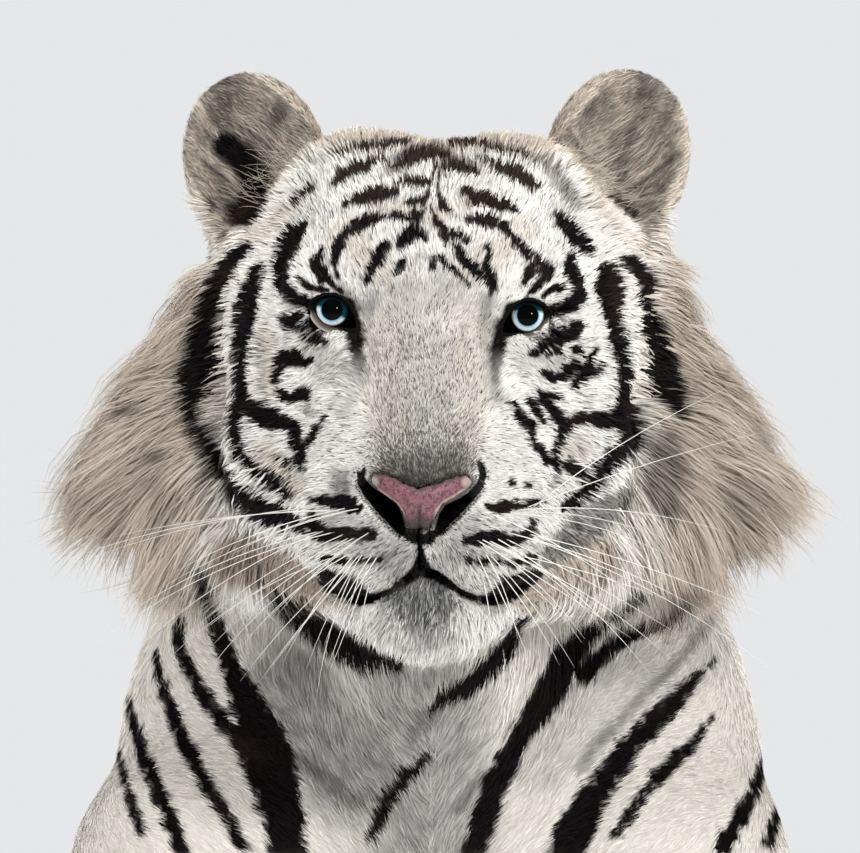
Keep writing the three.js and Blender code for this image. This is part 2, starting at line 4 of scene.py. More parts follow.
import bpy
import numpy as np
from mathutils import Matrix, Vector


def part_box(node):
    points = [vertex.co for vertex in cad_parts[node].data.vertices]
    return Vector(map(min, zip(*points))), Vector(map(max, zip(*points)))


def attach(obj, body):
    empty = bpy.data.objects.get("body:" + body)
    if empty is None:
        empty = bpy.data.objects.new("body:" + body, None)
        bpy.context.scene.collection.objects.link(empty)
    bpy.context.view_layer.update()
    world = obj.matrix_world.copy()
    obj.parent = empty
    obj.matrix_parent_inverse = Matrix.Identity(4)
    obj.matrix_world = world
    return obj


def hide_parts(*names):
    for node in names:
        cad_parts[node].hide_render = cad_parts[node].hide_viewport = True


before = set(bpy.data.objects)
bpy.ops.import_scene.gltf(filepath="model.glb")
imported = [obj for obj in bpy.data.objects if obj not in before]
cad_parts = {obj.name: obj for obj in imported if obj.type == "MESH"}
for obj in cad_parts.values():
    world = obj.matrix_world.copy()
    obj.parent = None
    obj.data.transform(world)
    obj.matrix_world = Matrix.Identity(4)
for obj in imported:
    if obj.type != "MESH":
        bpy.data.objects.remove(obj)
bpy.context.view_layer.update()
CHANCE = np.random.default_rng(7)

# Everything is worked out in millimetres in the animal's own frame, with the point midway
# between the eyes at X = 0, and moved to the row frame in metres as each mesh is made.
MM = 0.001
EYE_HEIGHT = 1030.0
FACE_Y = -350.0
HEAD_ROLL = 1.7
HEAD_YAW = 1.5
EYE_SPREAD = 62.5
EYE_RADIUS = 19.0
EYE_DEPTH = -13.0
ENDLESS = 1e9  # a distance larger than any other

FLESH = [
    "head", "muzzle", "jaw", "neck", "trunk", "tail_root", "tail_middle", "tail_tip",
] + [
    part + side
    for side in ("_left", "_right")
    for part in ("ear", "shoulder", "foreleg", "forepaw", "thigh", "hock", "hindpaw")
]


# ---------------------------------------------------------------- turning and placing
def turned(tip=0.0, lean=0.0, swing=0.0):
    """Rotation about Z by swing, then Y by lean, then X by tip, in degrees."""
    a, b, c = (math.radians(v) for v in (tip, lean, swing))
    about_x = np.array([[1, 0, 0], [0, math.cos(a), -math.sin(a)], [0, math.sin(a), math.cos(a)]])
    about_y = np.array([[math.cos(b), 0, math.sin(b)], [0, 1, 0], [-math.sin(b), 0, math.cos(b)]])
    about_z = np.array([[math.cos(c), -math.sin(c), 0], [math.sin(c), math.cos(c), 0], [0, 0, 1]])
    return about_x @ about_y @ about_z


HEAD_TURN = turned(0.0, HEAD_ROLL, -HEAD_YAW)
HEAD_AT = np.array([0.0, FACE_Y, EYE_HEIGHT])


def head_point(across, forward, up):
    """A point given on the head, from midway between the eyes, in the animal's frame."""
    return HEAD_AT + HEAD_TURN @ np.array([across, -forward, up], float)


def on_head(p):
    """Points of the animal's frame as across, forward and up on the head."""
    q = (p - HEAD_AT) @ HEAD_TURN
    q[:, 1] *= -1
    return q


def off_head(q):
    """Points given across, forward and up on the head, in the animal's frame."""
    return (q * (1, -1, 1)) @ HEAD_TURN.T + HEAD_AT


def about_eye(q, s):
    """Where points of the head lie about an eye, seen along the gaze: towards the nose, and up."""
    return np.stack([EYE_SPREAD - s * q[:, 0], q[:, 2]], 1)


def eye_centre(s):
    return head_point(s * EYE_SPREAD, EYE_DEPTH, 0.0)


def node_middle(name):
    low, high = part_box(name)
    return (np.array(low) + np.array(high)) / 2


SHIFT = (
    node_middle("eye_left") + node_middle("eye_right") - (eye_centre(1) + eye_centre(-1)) * MM
) / 2


# ---------------------------------------------------------------- the camera
CAMERA_AT = np.array([0.0, -2750.0, 958.0])
PICTURE = (860, 853)
PIXELS_AT_ONE = 3750.0  # pixels across an object as wide as it is far away
SENSOR = 36.0


def picture(p):
    """Where points are seen by the camera, in pixels of the picture."""
    away = PIXELS_AT_ONE / (p[:, 1] - CAMERA_AT[1])
    x = PICTURE[0] / 2 + (p[:, 0] - CAMERA_AT[0]) * away
    y = PICTURE[1] / 2 - (p[:, 2] - CAMERA_AT[2]) * away
    return np.stack([x, y], 1)


# ---------------------------------------------------------------- helpers on arrays
def step(low, high, v):
    """Smooth step from 0 at low to 1 at high."""
    t = np.clip((v - low) / (high - low), 0.0, 1.0)
    return t * t * (3 - 2 * t)


def mix(a, b, t):
    return a + (b - a) * t


def unit(v):
    return v / np.maximum(np.linalg.norm(v, axis=1, keepdims=True), 1e-9)


def noise(p, size, seed):
    """Smooth random field from -1 to 1, with features of about size."""
    q = p / size + seed * 7.31
    base = np.floor(q)
    f = q - base
    f = f * f * (3 - 2 * f)
    base = base.astype(np.int64)
    total = np.zeros(len(p))
    axes = p.shape[1]
    for corner in range(1 << axes):
        bits = [(corner >> k) & 1 for k in range(axes)]
        mixed = np.full(len(p), seed * 1013904223, np.int64)
        weight = np.ones(len(p))
        for k, bit in enumerate(bits):
            mixed = (mixed ^ (base[:, k] + bit)) * 668265263
            mixed = (mixed ^ (mixed >> 15)) & 0x7FFFFFFF
            weight = weight * (f[:, k] if bit else 1 - f[:, k])
        mixed = (mixed * 374761393) & 0x7FFFFFFF
        mixed ^= mixed >> 13
        total += weight * ((mixed & 0xFFFF) / 32767.5 - 1)
    return total


# ---------------------------------------------------------------- forms of flesh
def egg(centre, radii, coat=0.0, tip=0.0, lean=0.0):
    """Ellipsoid that lies inside the one of these radii by the coat's depth."""
    turn = turned(tip, lean)
    centre = np.array(centre, float)
    radii = np.array(radii, float) - coat
    plain = tip == 0 and lean == 0

    def form(p):
        d = p - centre
        if not plain:
            d = d @ turn
        a = d / radii
        near = np.sqrt(np.einsum("ij,ij->i", a, a))
        a /= radii
        slope = np.sqrt(np.einsum("ij,ij->i", a, a))
        return near * (near - 1) / np.maximum(slope, 1e-6)

    form.low = centre - np.max(radii)
    form.high = centre + np.max(radii)
    return form


def limb(a, b, ra, rb, coat=0.0):
    """Tapering limb with round ends, inside the given one by the coat's depth."""
    a = np.array(a, float)
    b = np.array(b, float)
    ra -= coat
    rb -= coat
    axis = b - a

    def form(p):
        d = p - a
        t = np.clip(d @ axis / (axis @ axis), 0, 1)
        d -= t[:, None] * axis
        return np.sqrt(np.einsum("ij,ij->i", d, d)) - (ra + (rb - ra) * t)

    form.low = np.minimum(a - ra, b - rb)
    form.high = np.maximum(a + ra, b + rb)
    return form


def soft_min(a, b, soft):
    near = np.maximum(soft - np.abs(a - b), 0) / soft
    return np.minimum(a, b) - near * near * soft * 0.25


def soft_max(a, b, soft):
    return -soft_min(-a, -b, soft)


def blend(forms, soft):
    def form(p):
        d = forms[0](p)
        for other in forms[1:]:
            d = soft_min(d, other(p), soft)
        return d

    form.low = np.min([f.low for f in forms], axis=0)
    form.high = np.max([f.high for f in forms], axis=0)
    return form


def head_form(form):
    """A form given on the head, as a form of the animal's frame."""

    def placed(p):
        return form(on_head(p))

    corners = np.array([
        head_point(*[(form.low, form.high)[(n >> k) & 1][k] for k in range(3)]) for n in range(8)
    ])
    placed.low = corners.min(0)
    placed.high = corners.max(0)
    return placed


def both_sides(make):
    return [make(1), make(-1)]


# The head's forms are given as across, forward and up. The last number is the coat's depth.
SKULL = [
    egg((0, -112, 18), (112, 122, 104), 7),
    *both_sides(lambda s: egg((s * 52, -98, 70), (58, 78, 54), 5)),
    egg((0, -44, 30), (84, 60, 62), 5),
    *both_sides(lambda s: egg((s * 54, -28, 24), (42, 32, 26), 3)),
    *both_sides(lambda s: egg((s * 62, -40, -12), (40, 28, 30), 2)),
    *both_sides(lambda s: egg((s * 90, -66, -24), (46, 52, 48), 7)),
    *both_sides(lambda s: egg((s * 78, -54, -84), (62, 64, 74), 10)),
    *both_sides(lambda s: egg((s * 100, -112, 16), (52, 72, 76), 13)),
]
MUZZLE = [
    limb((0, -20, -14), (0, 62, -108), 40, 38, 4),
    egg((0, 74, -114), (32, 30, 25), 2.5),
    egg((0, -10, -120), (66, 66, 56), 5),
    *both_sides(lambda s: egg((s * 42, -4, -78), (44, 46, 62), 5)),
    *both_sides(lambda s: egg((s * 37, 50, -144), (42, 44, 37), 4)),
    *both_sides(lambda s: egg((s * 54, 4, -134), (34, 50, 42), 5)),
]
JAW = [
    egg((0, 40, -190), (43, 34, 35), 7),
    *both_sides(lambda s: limb((s * 22, 18, -184), (s * 82, -92, -132), 38, 54, 10)),
]
RUFF = [
    *both_sides(lambda s: limb((s * 114, -132, 14), (s * 180, -146, -102), 34, 28)),
    *both_sides(lambda s: egg((s * 120, -150, -84), (96, 92, 108), 30)),
    *both_sides(lambda s: limb((s * 150, -126, -138), (s * 40, -70, -180), 50, 50, 26)),
]
HEAD_BLEND = 22
HEAD = blend(SKULL + MUZZLE + JAW + RUFF, HEAD_BLEND)


def bare_head(p):
    """The head out to the tips of its coat, where the nose's leather lies flush."""
    return blend([
        limb((0, -20, -14), (0, 62, -108), 40, 38),
        egg((0, 74, -114), (32, 30, 25)),
        egg((0, -10, -120), (66, 66, 56)),
        *both_sides(lambda s: egg((s * 37, 50, -144), (42, 44, 37))),
    ], HEAD_BLEND)(p)


EAR = {"across": 124, "forward": -132, "up": 102, "radii": (50, 31, 63), "lean": 13}
EAR_ROOT = {"inward": 14, "down": 46, "radii": (44, 34, 34)}
EAR_CUP = {"outward": 4, "forward": 27, "up": 3, "wall": 10}
LEFT_EAR = {"inward": 5, "up": 9}
EAR_COAT = 2.5
EAR_BLEND = 12
EAR_RIM = 7


def ear_place(s):
    """Middle of an ear on the head; the left one is held higher and closer than the right."""
    held = 1 if s > 0 else 0
    across = EAR["across"] - LEFT_EAR["inward"] * held
    return np.array([s * across, EAR["forward"], EAR["up"] + LEFT_EAR["up"] * held], float)


def ear(s):
    place = ear_place(s)
    shell = egg(place, EAR["radii"], EAR_COAT, 0, s * EAR["lean"])
    root = egg(
        (s * (EAR["across"] - EAR_ROOT["inward"]), EAR["forward"], EAR["up"] - EAR_ROOT["down"]),
        EAR_ROOT["radii"], EAR_COAT,
    )
    wide, thick, tall = EAR["radii"]
    cup = egg(
        place + (s * EAR_CUP["outward"], EAR_CUP["forward"], EAR_CUP["up"]),
        (wide - EAR_CUP["wall"], thick, tall - EAR_CUP["wall"]), 0, 0, s * EAR["lean"],
    )
    whole = blend([shell, root], EAR_BLEND)

    def form(p):
        return soft_max(whole(p), -cup(p), EAR_RIM)

    form.low = whole.low
    form.high = whole.high
    return form


LEAN = 7.0
BODY_BLEND = 55
TRUNK = blend([
    limb((0, -200, 985), (LEAN, 10, 830), 128, 170, 26),
    limb((0, -150, 1040), (LEAN, 70, 880), 84, 76, 24),
    limb((0, -215, 870), (LEAN, -40, 740), 96, 148, 28),
    egg((LEAN, 45, 712), (196, 200, 235), 20),
    limb((0, 100, 670), (0, 420, 470), 210, 216, 15),
    limb((0, 420, 480), (0, 640, 310), 204, 204, 15),
    egg((0, 680, 215), (215, 178, 220), 14),
    *both_sides(lambda s: egg((LEAN + s * 150, 2, 685), (100, 132, 195), 14, -12)),
], BODY_BLEND)

LIMB_BLEND = 34


def foreleg(s):
    return blend([
        limb((s * 170, -70, 640), (s * 148, 15, 520), 98, 88, 12),
        limb((s * 145, 12, 515), (s * 126, -42, 215), 86, 60, 9),
        limb((s * 126, -42, 215), (s * 124, -64, 70), 60, 57, 7),
    ], LIMB_BLEND)


def hindleg(s):
    return blend([
        egg((s * 196, 560, 235), (100, 205, 190), 14, 12),
        limb((s * 218, 395, 275), (s * 222, 470, 200), 92, 92, 12),
        limb((s * 222, 440, 180), (s * 222, 640, 90), 84, 62, 10),
        limb((s * 222, 664, 47), (s * 232, 380, 39), 52, 44, 6),
    ], LIMB_BLEND)


TOE_BLEND = 7
PAW_COAT = 4.5
TOES = 4
PAW_PARTS = {"back": ((0, 62, 42), (58, 78, 50)), "ball": ((0, 22, 36), (66, 60, 42))}
TOE_AT = (0, -30, 27)
TOE_RADII = (19, 36, 30)
TOE_SPREAD = 29
OUTER_TOES_BACK = 14
SPLAY = 6


def paw(x, y, size, s):
    def part(at, radii, across=0.0, back=0.0):
        place = (x + across, y + at[1] * size + back, at[2] * size)
        return egg(place, np.array(radii) * size, PAW_COAT)

    forms = [part(*PAW_PARTS["back"]), part(*PAW_PARTS["ball"])]
    for toe in range(TOES):
        place = toe - (TOES - 1) / 2
        back = OUTER_TOES_BACK if abs(place) > 1 else 0
        forms.append(part(TOE_AT, TOE_RADII, place * TOE_SPREAD * size + s * SPLAY, back))
    return blend(forms, TOE_BLEND)


FOREPAW = {"x": 124, "y": -130, "size": 1.14}
HINDPAW = {"x": 236, "y": 262, "size": 1.02}

TAIL_PLACES = np.array([
    (0, 796, 128), (34, 872, 66), (150, 938, 35), (284, 904, 33), (372, 792, 31),
    (406, 650, 29), (414, 500, 27), (398, 370, 25), (356, 258, 23),
], float)
TAIL_ROOT = 44.0
TAIL_TIP = 27.0
TAIL_COAT = 9.0
TAIL_STEPS = 44


def smooth_path(places, steps):
    """Points evenly spread along a smooth curve through places."""
    ends = np.vstack([2 * places[0] - places[1], places, 2 * places[-1] - places[-2]])
    t = np.linspace(0, 1, 24, endpoint=False)[:, None]
    pieces = []
    for a, b, c, d in zip(ends, ends[1:], ends[2:], ends[3:]):
        pieces.append(0.5 * (
            2 * b + (c - a) * t + (2 * a - 5 * b + 4 * c - d) * t**2
            + (3 * b - a - 3 * c + d) * t**3
        ))
    path = np.vstack([*pieces, places[-1:]])
    run = np.concatenate([[0], np.cumsum(np.linalg.norm(np.diff(path, axis=0), axis=1))])
    want = np.linspace(0, run[-1], steps + 1)
    return np.stack([np.interp(want, run, path[:, k]) for k in range(path.shape[1])], 1)


TAIL_PATH = smooth_path(TAIL_PLACES, TAIL_STEPS)


def along_path(p, path):
    """For each point: share of the way along the path at its nearest point, and distance."""
    best = np.full(len(p), ENDLESS)
    share = np.zeros(len(p))
    for n, (a, b) in enumerate(zip(path, path[1:])):
        axis = b - a
        t = np.clip((p - a) @ axis / (axis @ axis), 0, 1)
        far = np.linalg.norm(p - a - t[:, None] * axis, axis=1)
        closer = far < best
        best = np.where(closer, far, best)
        share = np.where(closer, (n + t) / (len(path) - 1), share)
    return share, best


def tail(p):
    share, far = along_path(p, TAIL_PATH)
    return far - (TAIL_ROOT + (TAIL_TIP - TAIL_ROOT) * share - TAIL_COAT)


tail.low = TAIL_PATH.min(0) - TAIL_ROOT
tail.high = TAIL_PATH.max(0) + TAIL_ROOT

# Each group of forms with the rounding where it joins what comes before it.
GROUPS = {
    "trunk": [(TRUNK, BODY_BLEND)],
    "head": [(head_form(HEAD), LIMB_BLEND)],
    "foreleg": [(f, LIMB_BLEND) for f in both_sides(foreleg)],
    "hindleg": [(f, LIMB_BLEND) for f in both_sides(hindleg)],
    "forepaw": [
        (paw(s * FOREPAW["x"], FOREPAW["y"], FOREPAW["size"], s), TOE_BLEND) for s in (1, -1)
    ],
    "hindpaw": [
        (paw(s * HINDPAW["x"], HINDPAW["y"], HINDPAW["size"], s), TOE_BLEND) for s in (1, -1)
    ],
    "ear": [(head_form(f), EAR_BLEND) for f in both_sides(ear)],
    "tail": [(tail, TAIL_COAT)],
}
FAR = 500.0
REACH = 60.0
FLOOR_LIFT = 1.5  # the skin's flat undersides above the floor


def body(p):
    """Distance from the skin, negative inside, before the face is worked out in detail."""
    d = np.full(len(p), FAR)
    for members in GROUPS.values():
        for form, soft in members:
            near = np.all((p > form.low - REACH) & (p < form.high + REACH), axis=1)
            if near.any():
                d[near] = soft_min(d[near], form(p[near]), soft)
    return soft_max(d, FLOOR_LIFT - p[:, 2], 2.0)


# ---------------------------------------------------------------- shapes in the picture's plane
def outline(xy, corners):
    """Distance from a closed outline, negative inside."""
    corners = np.array(corners, float)
    best = np.full(len(xy), ENDLESS)
    inside = np.zeros(len(xy), bool)
    for a, b in zip(corners, np.roll(corners, -1, axis=0)):
        edge = b - a
        d = xy - a
        t = np.clip(d @ edge / (edge @ edge), 0, 1)
        gap = d - t[:, None] * edge
        best = np.minimum(best, np.einsum("ij,ij->i", gap, gap))
        crosses = (a[1] > xy[:, 1]) != (b[1] > xy[:, 1])
        rise = edge[1] if edge[1] else 1e-9
        inside ^= crosses & (xy[:, 0] < a[0] + (xy[:, 1] - a[1]) * edge[0] / rise)
    return np.where(inside, -1, 1) * np.sqrt(best)


def stroke(xy, points, widths):
    """Distance from a line with round ends and the given widths, negative inside."""
    points = np.array(points, float)
    widths = np.interp(
        np.linspace(0, 1, len(points)), np.linspace(0, 1, len(widths)), widths
    )
    best = np.full(len(xy), ENDLESS)
    for n, (a, b) in enumerate(zip(points, points[1:])):
        edge = b - a
        d = xy - a
        t = np.clip(d @ edge / (edge @ edge), 0, 1)
        gap = d - t[:, None] * edge
        far = np.sqrt(np.einsum("ij,ij->i", gap, gap))
        best = np.minimum(best, far - mix(widths[n], widths[n + 1], t) / 2)
    return best


# ---------------------------------------------------------------- the face in detail
# Opening between the lids, from the middle of the eye: towards the nose, and up.
LIDS = [
    (-14.6, 3.6), (-11.6, 6.2), (-8.4, 8.4), (-3.6, 10.1), (1.4, 10.3), (6.4, 8.2),
    (10.4, 4.4), (13.5, -0.8), (15.4, -5.6), (16.2, -10.6), (11.6, -11.3), (5.4, -10.6),
    (-0.4, -9.9), (-5.2, -7.9), (-9.0, -3.9), (-11.2, 0.2),
]
LID_RADII = (31, 21.5, 29)
LID_BACK = 1.5
LID_BLEND = 15.0
LID_EDGE = 1.2
LID_SNAP = 0.42
LID_REACH = 2.2  # how far from the eye's middle the lids are worked out, in its radii
SOCKET_UNDER = 2.0

# Places in the picture: the nose's leather, the nostrils and the mouth.
NOSE_PAD = [
    (371, 480), (374, 474), (384, 473.5), (397, 479), (408, 485), (419, 488), (431, 485.5),
    (443, 481), (455, 476), (466, 475), (473, 482), (466, 490), (455, 497.5), (444, 503.5),
    (438, 511), (435, 520), (430, 528), (420, 531), (410, 529), (404, 521), (401, 512),
    (396, 504.5), (386, 497), (377, 490),
]
NOSE_KNOBS = [(373, 482), (467, 482)]
NOSTRIL_RIGHT = [
    (357, 471), (361, 473), (366, 480), (374, 488), (385, 495.5), (396, 503), (402, 513), (405, 524),
    (407, 538), (398, 533), (388, 523), (377, 511), (366, 498), (358, 484),
]
NOSTRIL_LEFT = [
    (486, 473), (482, 474), (477, 483), (468, 493), (456, 500), (445, 505), (439, 514), (436, 524),
    (433, 538), (441, 533), (452, 522), (463, 511), (474, 499), (483, 487),
]
PHILTRUM = [(419, 528), (419.5, 548), (420, 570)]
MOUTH_RIGHT = [(420, 570), (413, 575), (405, 579), (390, 592), (374, 599), (350, 598), (326, 588)]
MOUTH_LEFT = [(420, 570), (436, 572), (446, 579), (460, 591), (477, 599), (500, 598), (524, 585)]


NOSTRIL_SINK = 9.0
PHILTRUM_SINK, PHILTRUM_WIDE = 3.2, 3.4
MOUTH_SINK, MOUTH_WIDE = 5.0, 2.8
MOUTH_WIDTHS = [2, 2, 4]


def face_relief(p):
    """How far the fine features of the face sink below its forms."""
    xy = picture(p)
    sink = np.zeros(len(p))
    front = step(-350, -385, p[:, 1])
    for nostril in (NOSTRIL_RIGHT, NOSTRIL_LEFT):
        sink += NOSTRIL_SINK * step(2.5, -3.5, outline(xy, nostril)) * front
    gap = stroke(xy, PHILTRUM, [1, 1])
    sink += PHILTRUM_SINK * np.exp(-((gap / PHILTRUM_WIDE) ** 2)) * front
    for line in (MOUTH_RIGHT, MOUTH_LEFT):
        gap = np.maximum(stroke(xy, line, MOUTH_WIDTHS), 0)
        sink += MOUTH_SINK * np.exp(-(gap / MOUTH_WIDE) ** 2) * front
    return sink


def face(p):
    """Distance from the skin with lids, nostrils and mouth worked out."""
    d = body(p)
    q = on_head(p)
    for s in (1, -1):
        eye = np.array([s * EYE_SPREAD, EYE_DEPTH, 0.0])
        far = np.linalg.norm(q - eye, axis=1)
        near = far < EYE_RADIUS * LID_REACH
        if not near.any():
            continue
        local = q[near] - eye
        lid = egg(eye - (0, LID_BACK, 0), LID_RADII)(q[near])
        here = soft_min(d[near], lid, LID_BLEND)
        opening = outline(about_eye(q[near], s), LIDS)
        hollow = np.maximum(opening, (EYE_RADIUS - SOCKET_UNDER) - far[near])
        hollow = np.maximum(hollow, -local[:, 1])
        d[near] = soft_max(here, -hollow, LID_EDGE)
    front = p[:, 1] < FACE_Y + 10
    d[front] += face_relief(p[front])
    return d


# ---------------------------------------------------------------- forms to facets
def grid_lines(stops):
    """Grid lines between stops, each span given with the size of its cells."""
    lines = [stops[0][0]]
    for (a, _), (b, cell) in zip(stops, stops[1:]):
        count = max(1, round((b - a) / cell))
        lines.extend(np.linspace(a, b, count + 1)[1:])
    return np.array(lines, float)


def sampled(form, lines, block=5):
    """The form's values on the grid, worked out only near the surface."""
    counts = [len(v) for v in lines]
    value = np.full(counts, FAR, np.float32)
    starts = [np.arange(0, n, block) for n in counts]
    ends = [np.minimum(s + block, n) - 1 for s, n in zip(starts, counts)]
    middles = [(v[s] + v[e]) / 2 for v, s, e in zip(lines, starts, ends)]
    halves = [(v[e] - v[s]) / 2 for v, s, e in zip(lines, starts, ends)]
    steps = [np.diff(v).max() for v in lines]
    centre = np.stack(np.meshgrid(*middles, indexing="ij"), -1).reshape(-1, 3)
    half = np.stack(np.meshgrid(*halves, indexing="ij"), -1).reshape(-1, 3)
    reach = np.linalg.norm(half, axis=1) * 1.3 + max(steps) * 1.5
    middle_value = form(centre)
    index = np.stack(np.meshgrid(*[np.arange(len(s)) for s in starts], indexing="ij"), -1)
    index = index.reshape(-1, 3)
    near = np.abs(middle_value) < reach
    for n in np.nonzero(~near & (middle_value < 0))[0]:
        i, j, k = index[n] * block
        value[i:i + block, j:j + block, k:k + block] = -FAR
    cells = (index[near] * block)[:, None, :] + np.stack(
        np.meshgrid(*[np.arange(block)] * 3, indexing="ij"), -1
    ).reshape(1, -1, 3)
    cells = cells.reshape(-1, 3)
    cells = cells[np.all(cells < np.array(counts), axis=1)]
    points = np.stack([v[cells[:, k]] for k, v in enumerate(lines)], 1)
    value[cells[:, 0], cells[:, 1], cells[:, 2]] = form(points)
    return value


def facets(value, lines):
    """Corner points and triangles of the surface where the sampled values change sign."""
    inside = value < 0
    counts = [n - 1 for n in value.shape]
    total = np.zeros(counts, np.int8)
    for c in range(8):
        i, j, k = c & 1, (c >> 1) & 1, (c >> 2) & 1
        total += inside[i:i + counts[0], j:j + counts[1], k:k + counts[2]]
    cells = np.argwhere((total > 0) & (total < 8))
    number = np.full(counts, -1, np.int64)
    number[cells[:, 0], cells[:, 1], cells[:, 2]] = np.arange(len(cells))
    corner = np.array([(c & 1, (c >> 1) & 1, (c >> 2) & 1) for c in range(8)])
    v = np.stack([
        value[cells[:, 0] + i, cells[:, 1] + j, cells[:, 2] + k] for i, j, k in corner
    ], 1)
    sums = np.zeros((len(cells), 3))
    crossings = np.zeros(len(cells))
    for a in range(8):
        for bit in (1, 2, 4):
            if a & bit:
                continue
            b = a | bit
            cut = (v[:, a] < 0) != (v[:, b] < 0)
            t = np.where(cut, v[:, a] / np.where(cut, v[:, a] - v[:, b], 1), 0)
            place = corner[a] + t[:, None] * (corner[b] - corner[a])
            sums += place * cut[:, None]
            crossings += cut
    share = sums / crossings[:, None]
    points = np.stack([
        lines[k][cells[:, k]] + share[:, k] * np.diff(lines[k])[cells[:, k]] for k in range(3)
    ], 1)
    quads = []
    for axis in range(3):
        u, w = (axis + 1) % 3, (axis + 2) % 3
        upper = [slice(None)] * 3
        lower = [slice(None)] * 3
        upper[axis] = slice(1, None)
        lower[axis] = slice(None, -1)
        cut = np.argwhere(inside[tuple(lower)] != inside[tuple(upper)])
        keep = np.all(cut[:, [u, w]] > 0, axis=1)
        keep &= (cut[:, u] < value.shape[u] - 1) & (cut[:, w] < value.shape[w] - 1)
        cut = cut[keep]
        here = inside[cut[:, 0], cut[:, 1], cut[:, 2]]

        def cell(du, dw):
            at = cut.copy()
            at[:, u] -= du
            at[:, w] -= dw
            return number[at[:, 0], at[:, 1], at[:, 2]]

        ring = np.stack([cell(1, 1), cell(0, 1), cell(0, 0), cell(1, 0)], 1)
        ring[~here] = ring[~here][:, ::-1]
        quads.append(ring)
    quads = np.vstack(quads)
    first = np.linalg.norm(points[quads[:, 0]] - points[quads[:, 2]], axis=1)
    second = np.linalg.norm(points[quads[:, 1]] - points[quads[:, 3]], axis=1)
    across = (first <= second)[:, None]
    one = np.where(across, quads[:, [0, 1, 2]], quads[:, [0, 1, 3]])
    two = np.where(across, quads[:, [0, 2, 3]], quads[:, [1, 2, 3]])
    return points, np.vstack([one, two])


def slope_of(form, p, width=0.4):
    """The form's value and its slope at points."""
    corners = np.array([(1, -1, -1), (-1, -1, 1), (-1, 1, -1), (1, 1, 1)], float)
    values = [form(p + corner * width) for corner in corners]
    slope = sum(v[:, None] * corner for v, corner in zip(values, corners)) / (4 * width)
    return sum(values) / 4, slope


def settled(form, p, rounds, most):
    """Points moved onto the surface of the form."""
    p = p.copy()
    for _ in range(rounds):
        d, slope = slope_of(form, p)
        steep = np.maximum(np.einsum("ij,ij->i", slope, slope), 0.2)
        p -= slope * (np.clip(d, -most, most) / steep)[:, None]
    return p


def edges_of(triangles):
    pairs = np.sort(triangles[:, [0, 1, 1, 2, 2, 0]].reshape(-1, 2), axis=1)
    edges, which = np.unique(pairs, axis=0, return_inverse=True)
    return edges, which.reshape(-1, 3)


def relaxed(points, triangles, share, where=None):
    """Points moved part of the way to the middle of their neighbours."""
    edges, _ = edges_of(triangles)
    total = np.zeros_like(points)
    count = np.zeros(len(points))
    for a, b in (edges.T, edges.T[::-1]):
        for k in range(3):
            total[:, k] += np.bincount(a, points[b, k], len(points))
        count += np.bincount(a, minlength=len(points))
    middle = total / np.maximum(count, 1)[:, None]
    amount = share if where is None else (share * where)[:, None]
    return points + (middle - points) * amount


def refined(points, triangles, wanted):
    """Splits every edge whose ends are both wanted, and the triangles on them to fit."""
    edges, which = edges_of(triangles)
    split = wanted[edges].all(1)
    number = np.full(len(edges), -1)
    number[split] = len(points) + np.arange(split.sum())
    points = np.vstack([points, points[edges[split]].mean(1)])
    mid = number[which]
    count = (mid >= 0).sum(1)
    parts = [triangles[count == 0]]
    t, m = triangles[count == 3], mid[count == 3]
    parts += [
        np.stack(c, 1) for c in (
            (t[:, 0], m[:, 0], m[:, 2]), (m[:, 0], t[:, 1], m[:, 1]),
            (m[:, 2], m[:, 1], t[:, 2]), (m[:, 0], m[:, 1], m[:, 2]),
        )
    ]
    for k in range(3):
        a, b, c = k, (k + 1) % 3, (k + 2) % 3
        one = (count == 1) & (mid[:, a] >= 0)
        t, m = triangles[one], mid[one]
        parts.append(np.stack([t[:, a], m[:, a], t[:, c]], 1))
        parts.append(np.stack([m[:, a], t[:, b], t[:, c]], 1))
        two = (count == 2) & (mid[:, c] < 0)
        t, m = triangles[two], mid[two]
        parts.append(np.stack([m[:, a], t[:, b], m[:, b]], 1))
        parts.append(np.stack([t[:, a], m[:, a], m[:, b]], 1))
        parts.append(np.stack([t[:, a], m[:, b], t[:, c]], 1))
    return points, np.vstack(parts)


def vertex_normals(points, triangles):
    a, b, c = (points[triangles[:, k]] for k in range(3))
    flat = np.cross(b - a, c - a)
    total = np.zeros_like(points)
    for corner in range(3):
        for k in range(3):
            total[:, k] += np.bincount(triangles[:, corner], flat[:, k], len(points))
    return unit(total)


# ---------------------------------------------------------------- the skin
FACE_CELL = 5.0
BODY_CELL = 10.0
LINES = [
    grid_lines([(-330, 0), (-250, 10), (250, FACE_CELL), (460, 10)]),
    grid_lines([(-475, 0), (-170, FACE_CELL), (0, 8), (990, BODY_CELL)]),
    grid_lines([(-12, 0), (80, 6), (780, BODY_CELL), (1215, FACE_CELL)]),
]


def to_lids(points, reach):
    """Moves points near the edge of the lids along the face onto that edge."""
    q = on_head(points)
    for s in (1, -1):
        place = about_eye(q, s)
        near = np.nonzero(np.all(np.abs(place) < 24, axis=1) & (q[:, 1] > -30))[0]
        here = place[near]
        gap = outline(here, LIDS)
        width = 0.3
        slope = np.stack([
            outline(here + (width, 0), LIDS) - outline(here - (width, 0), LIDS),
            outline(here + (0, width), LIDS) - outline(here - (0, width), LIDS),
        ], 1) / (2 * width)
        move = -gap[:, None] * slope * (np.abs(gap) < reach)[:, None]
        shift = np.zeros((len(near), 3))
        shift[:, 0] = -s * move[:, 0]
        shift[:, 2] = move[:, 1]
        points[near] += shift @ HEAD_TURN.T
    return points


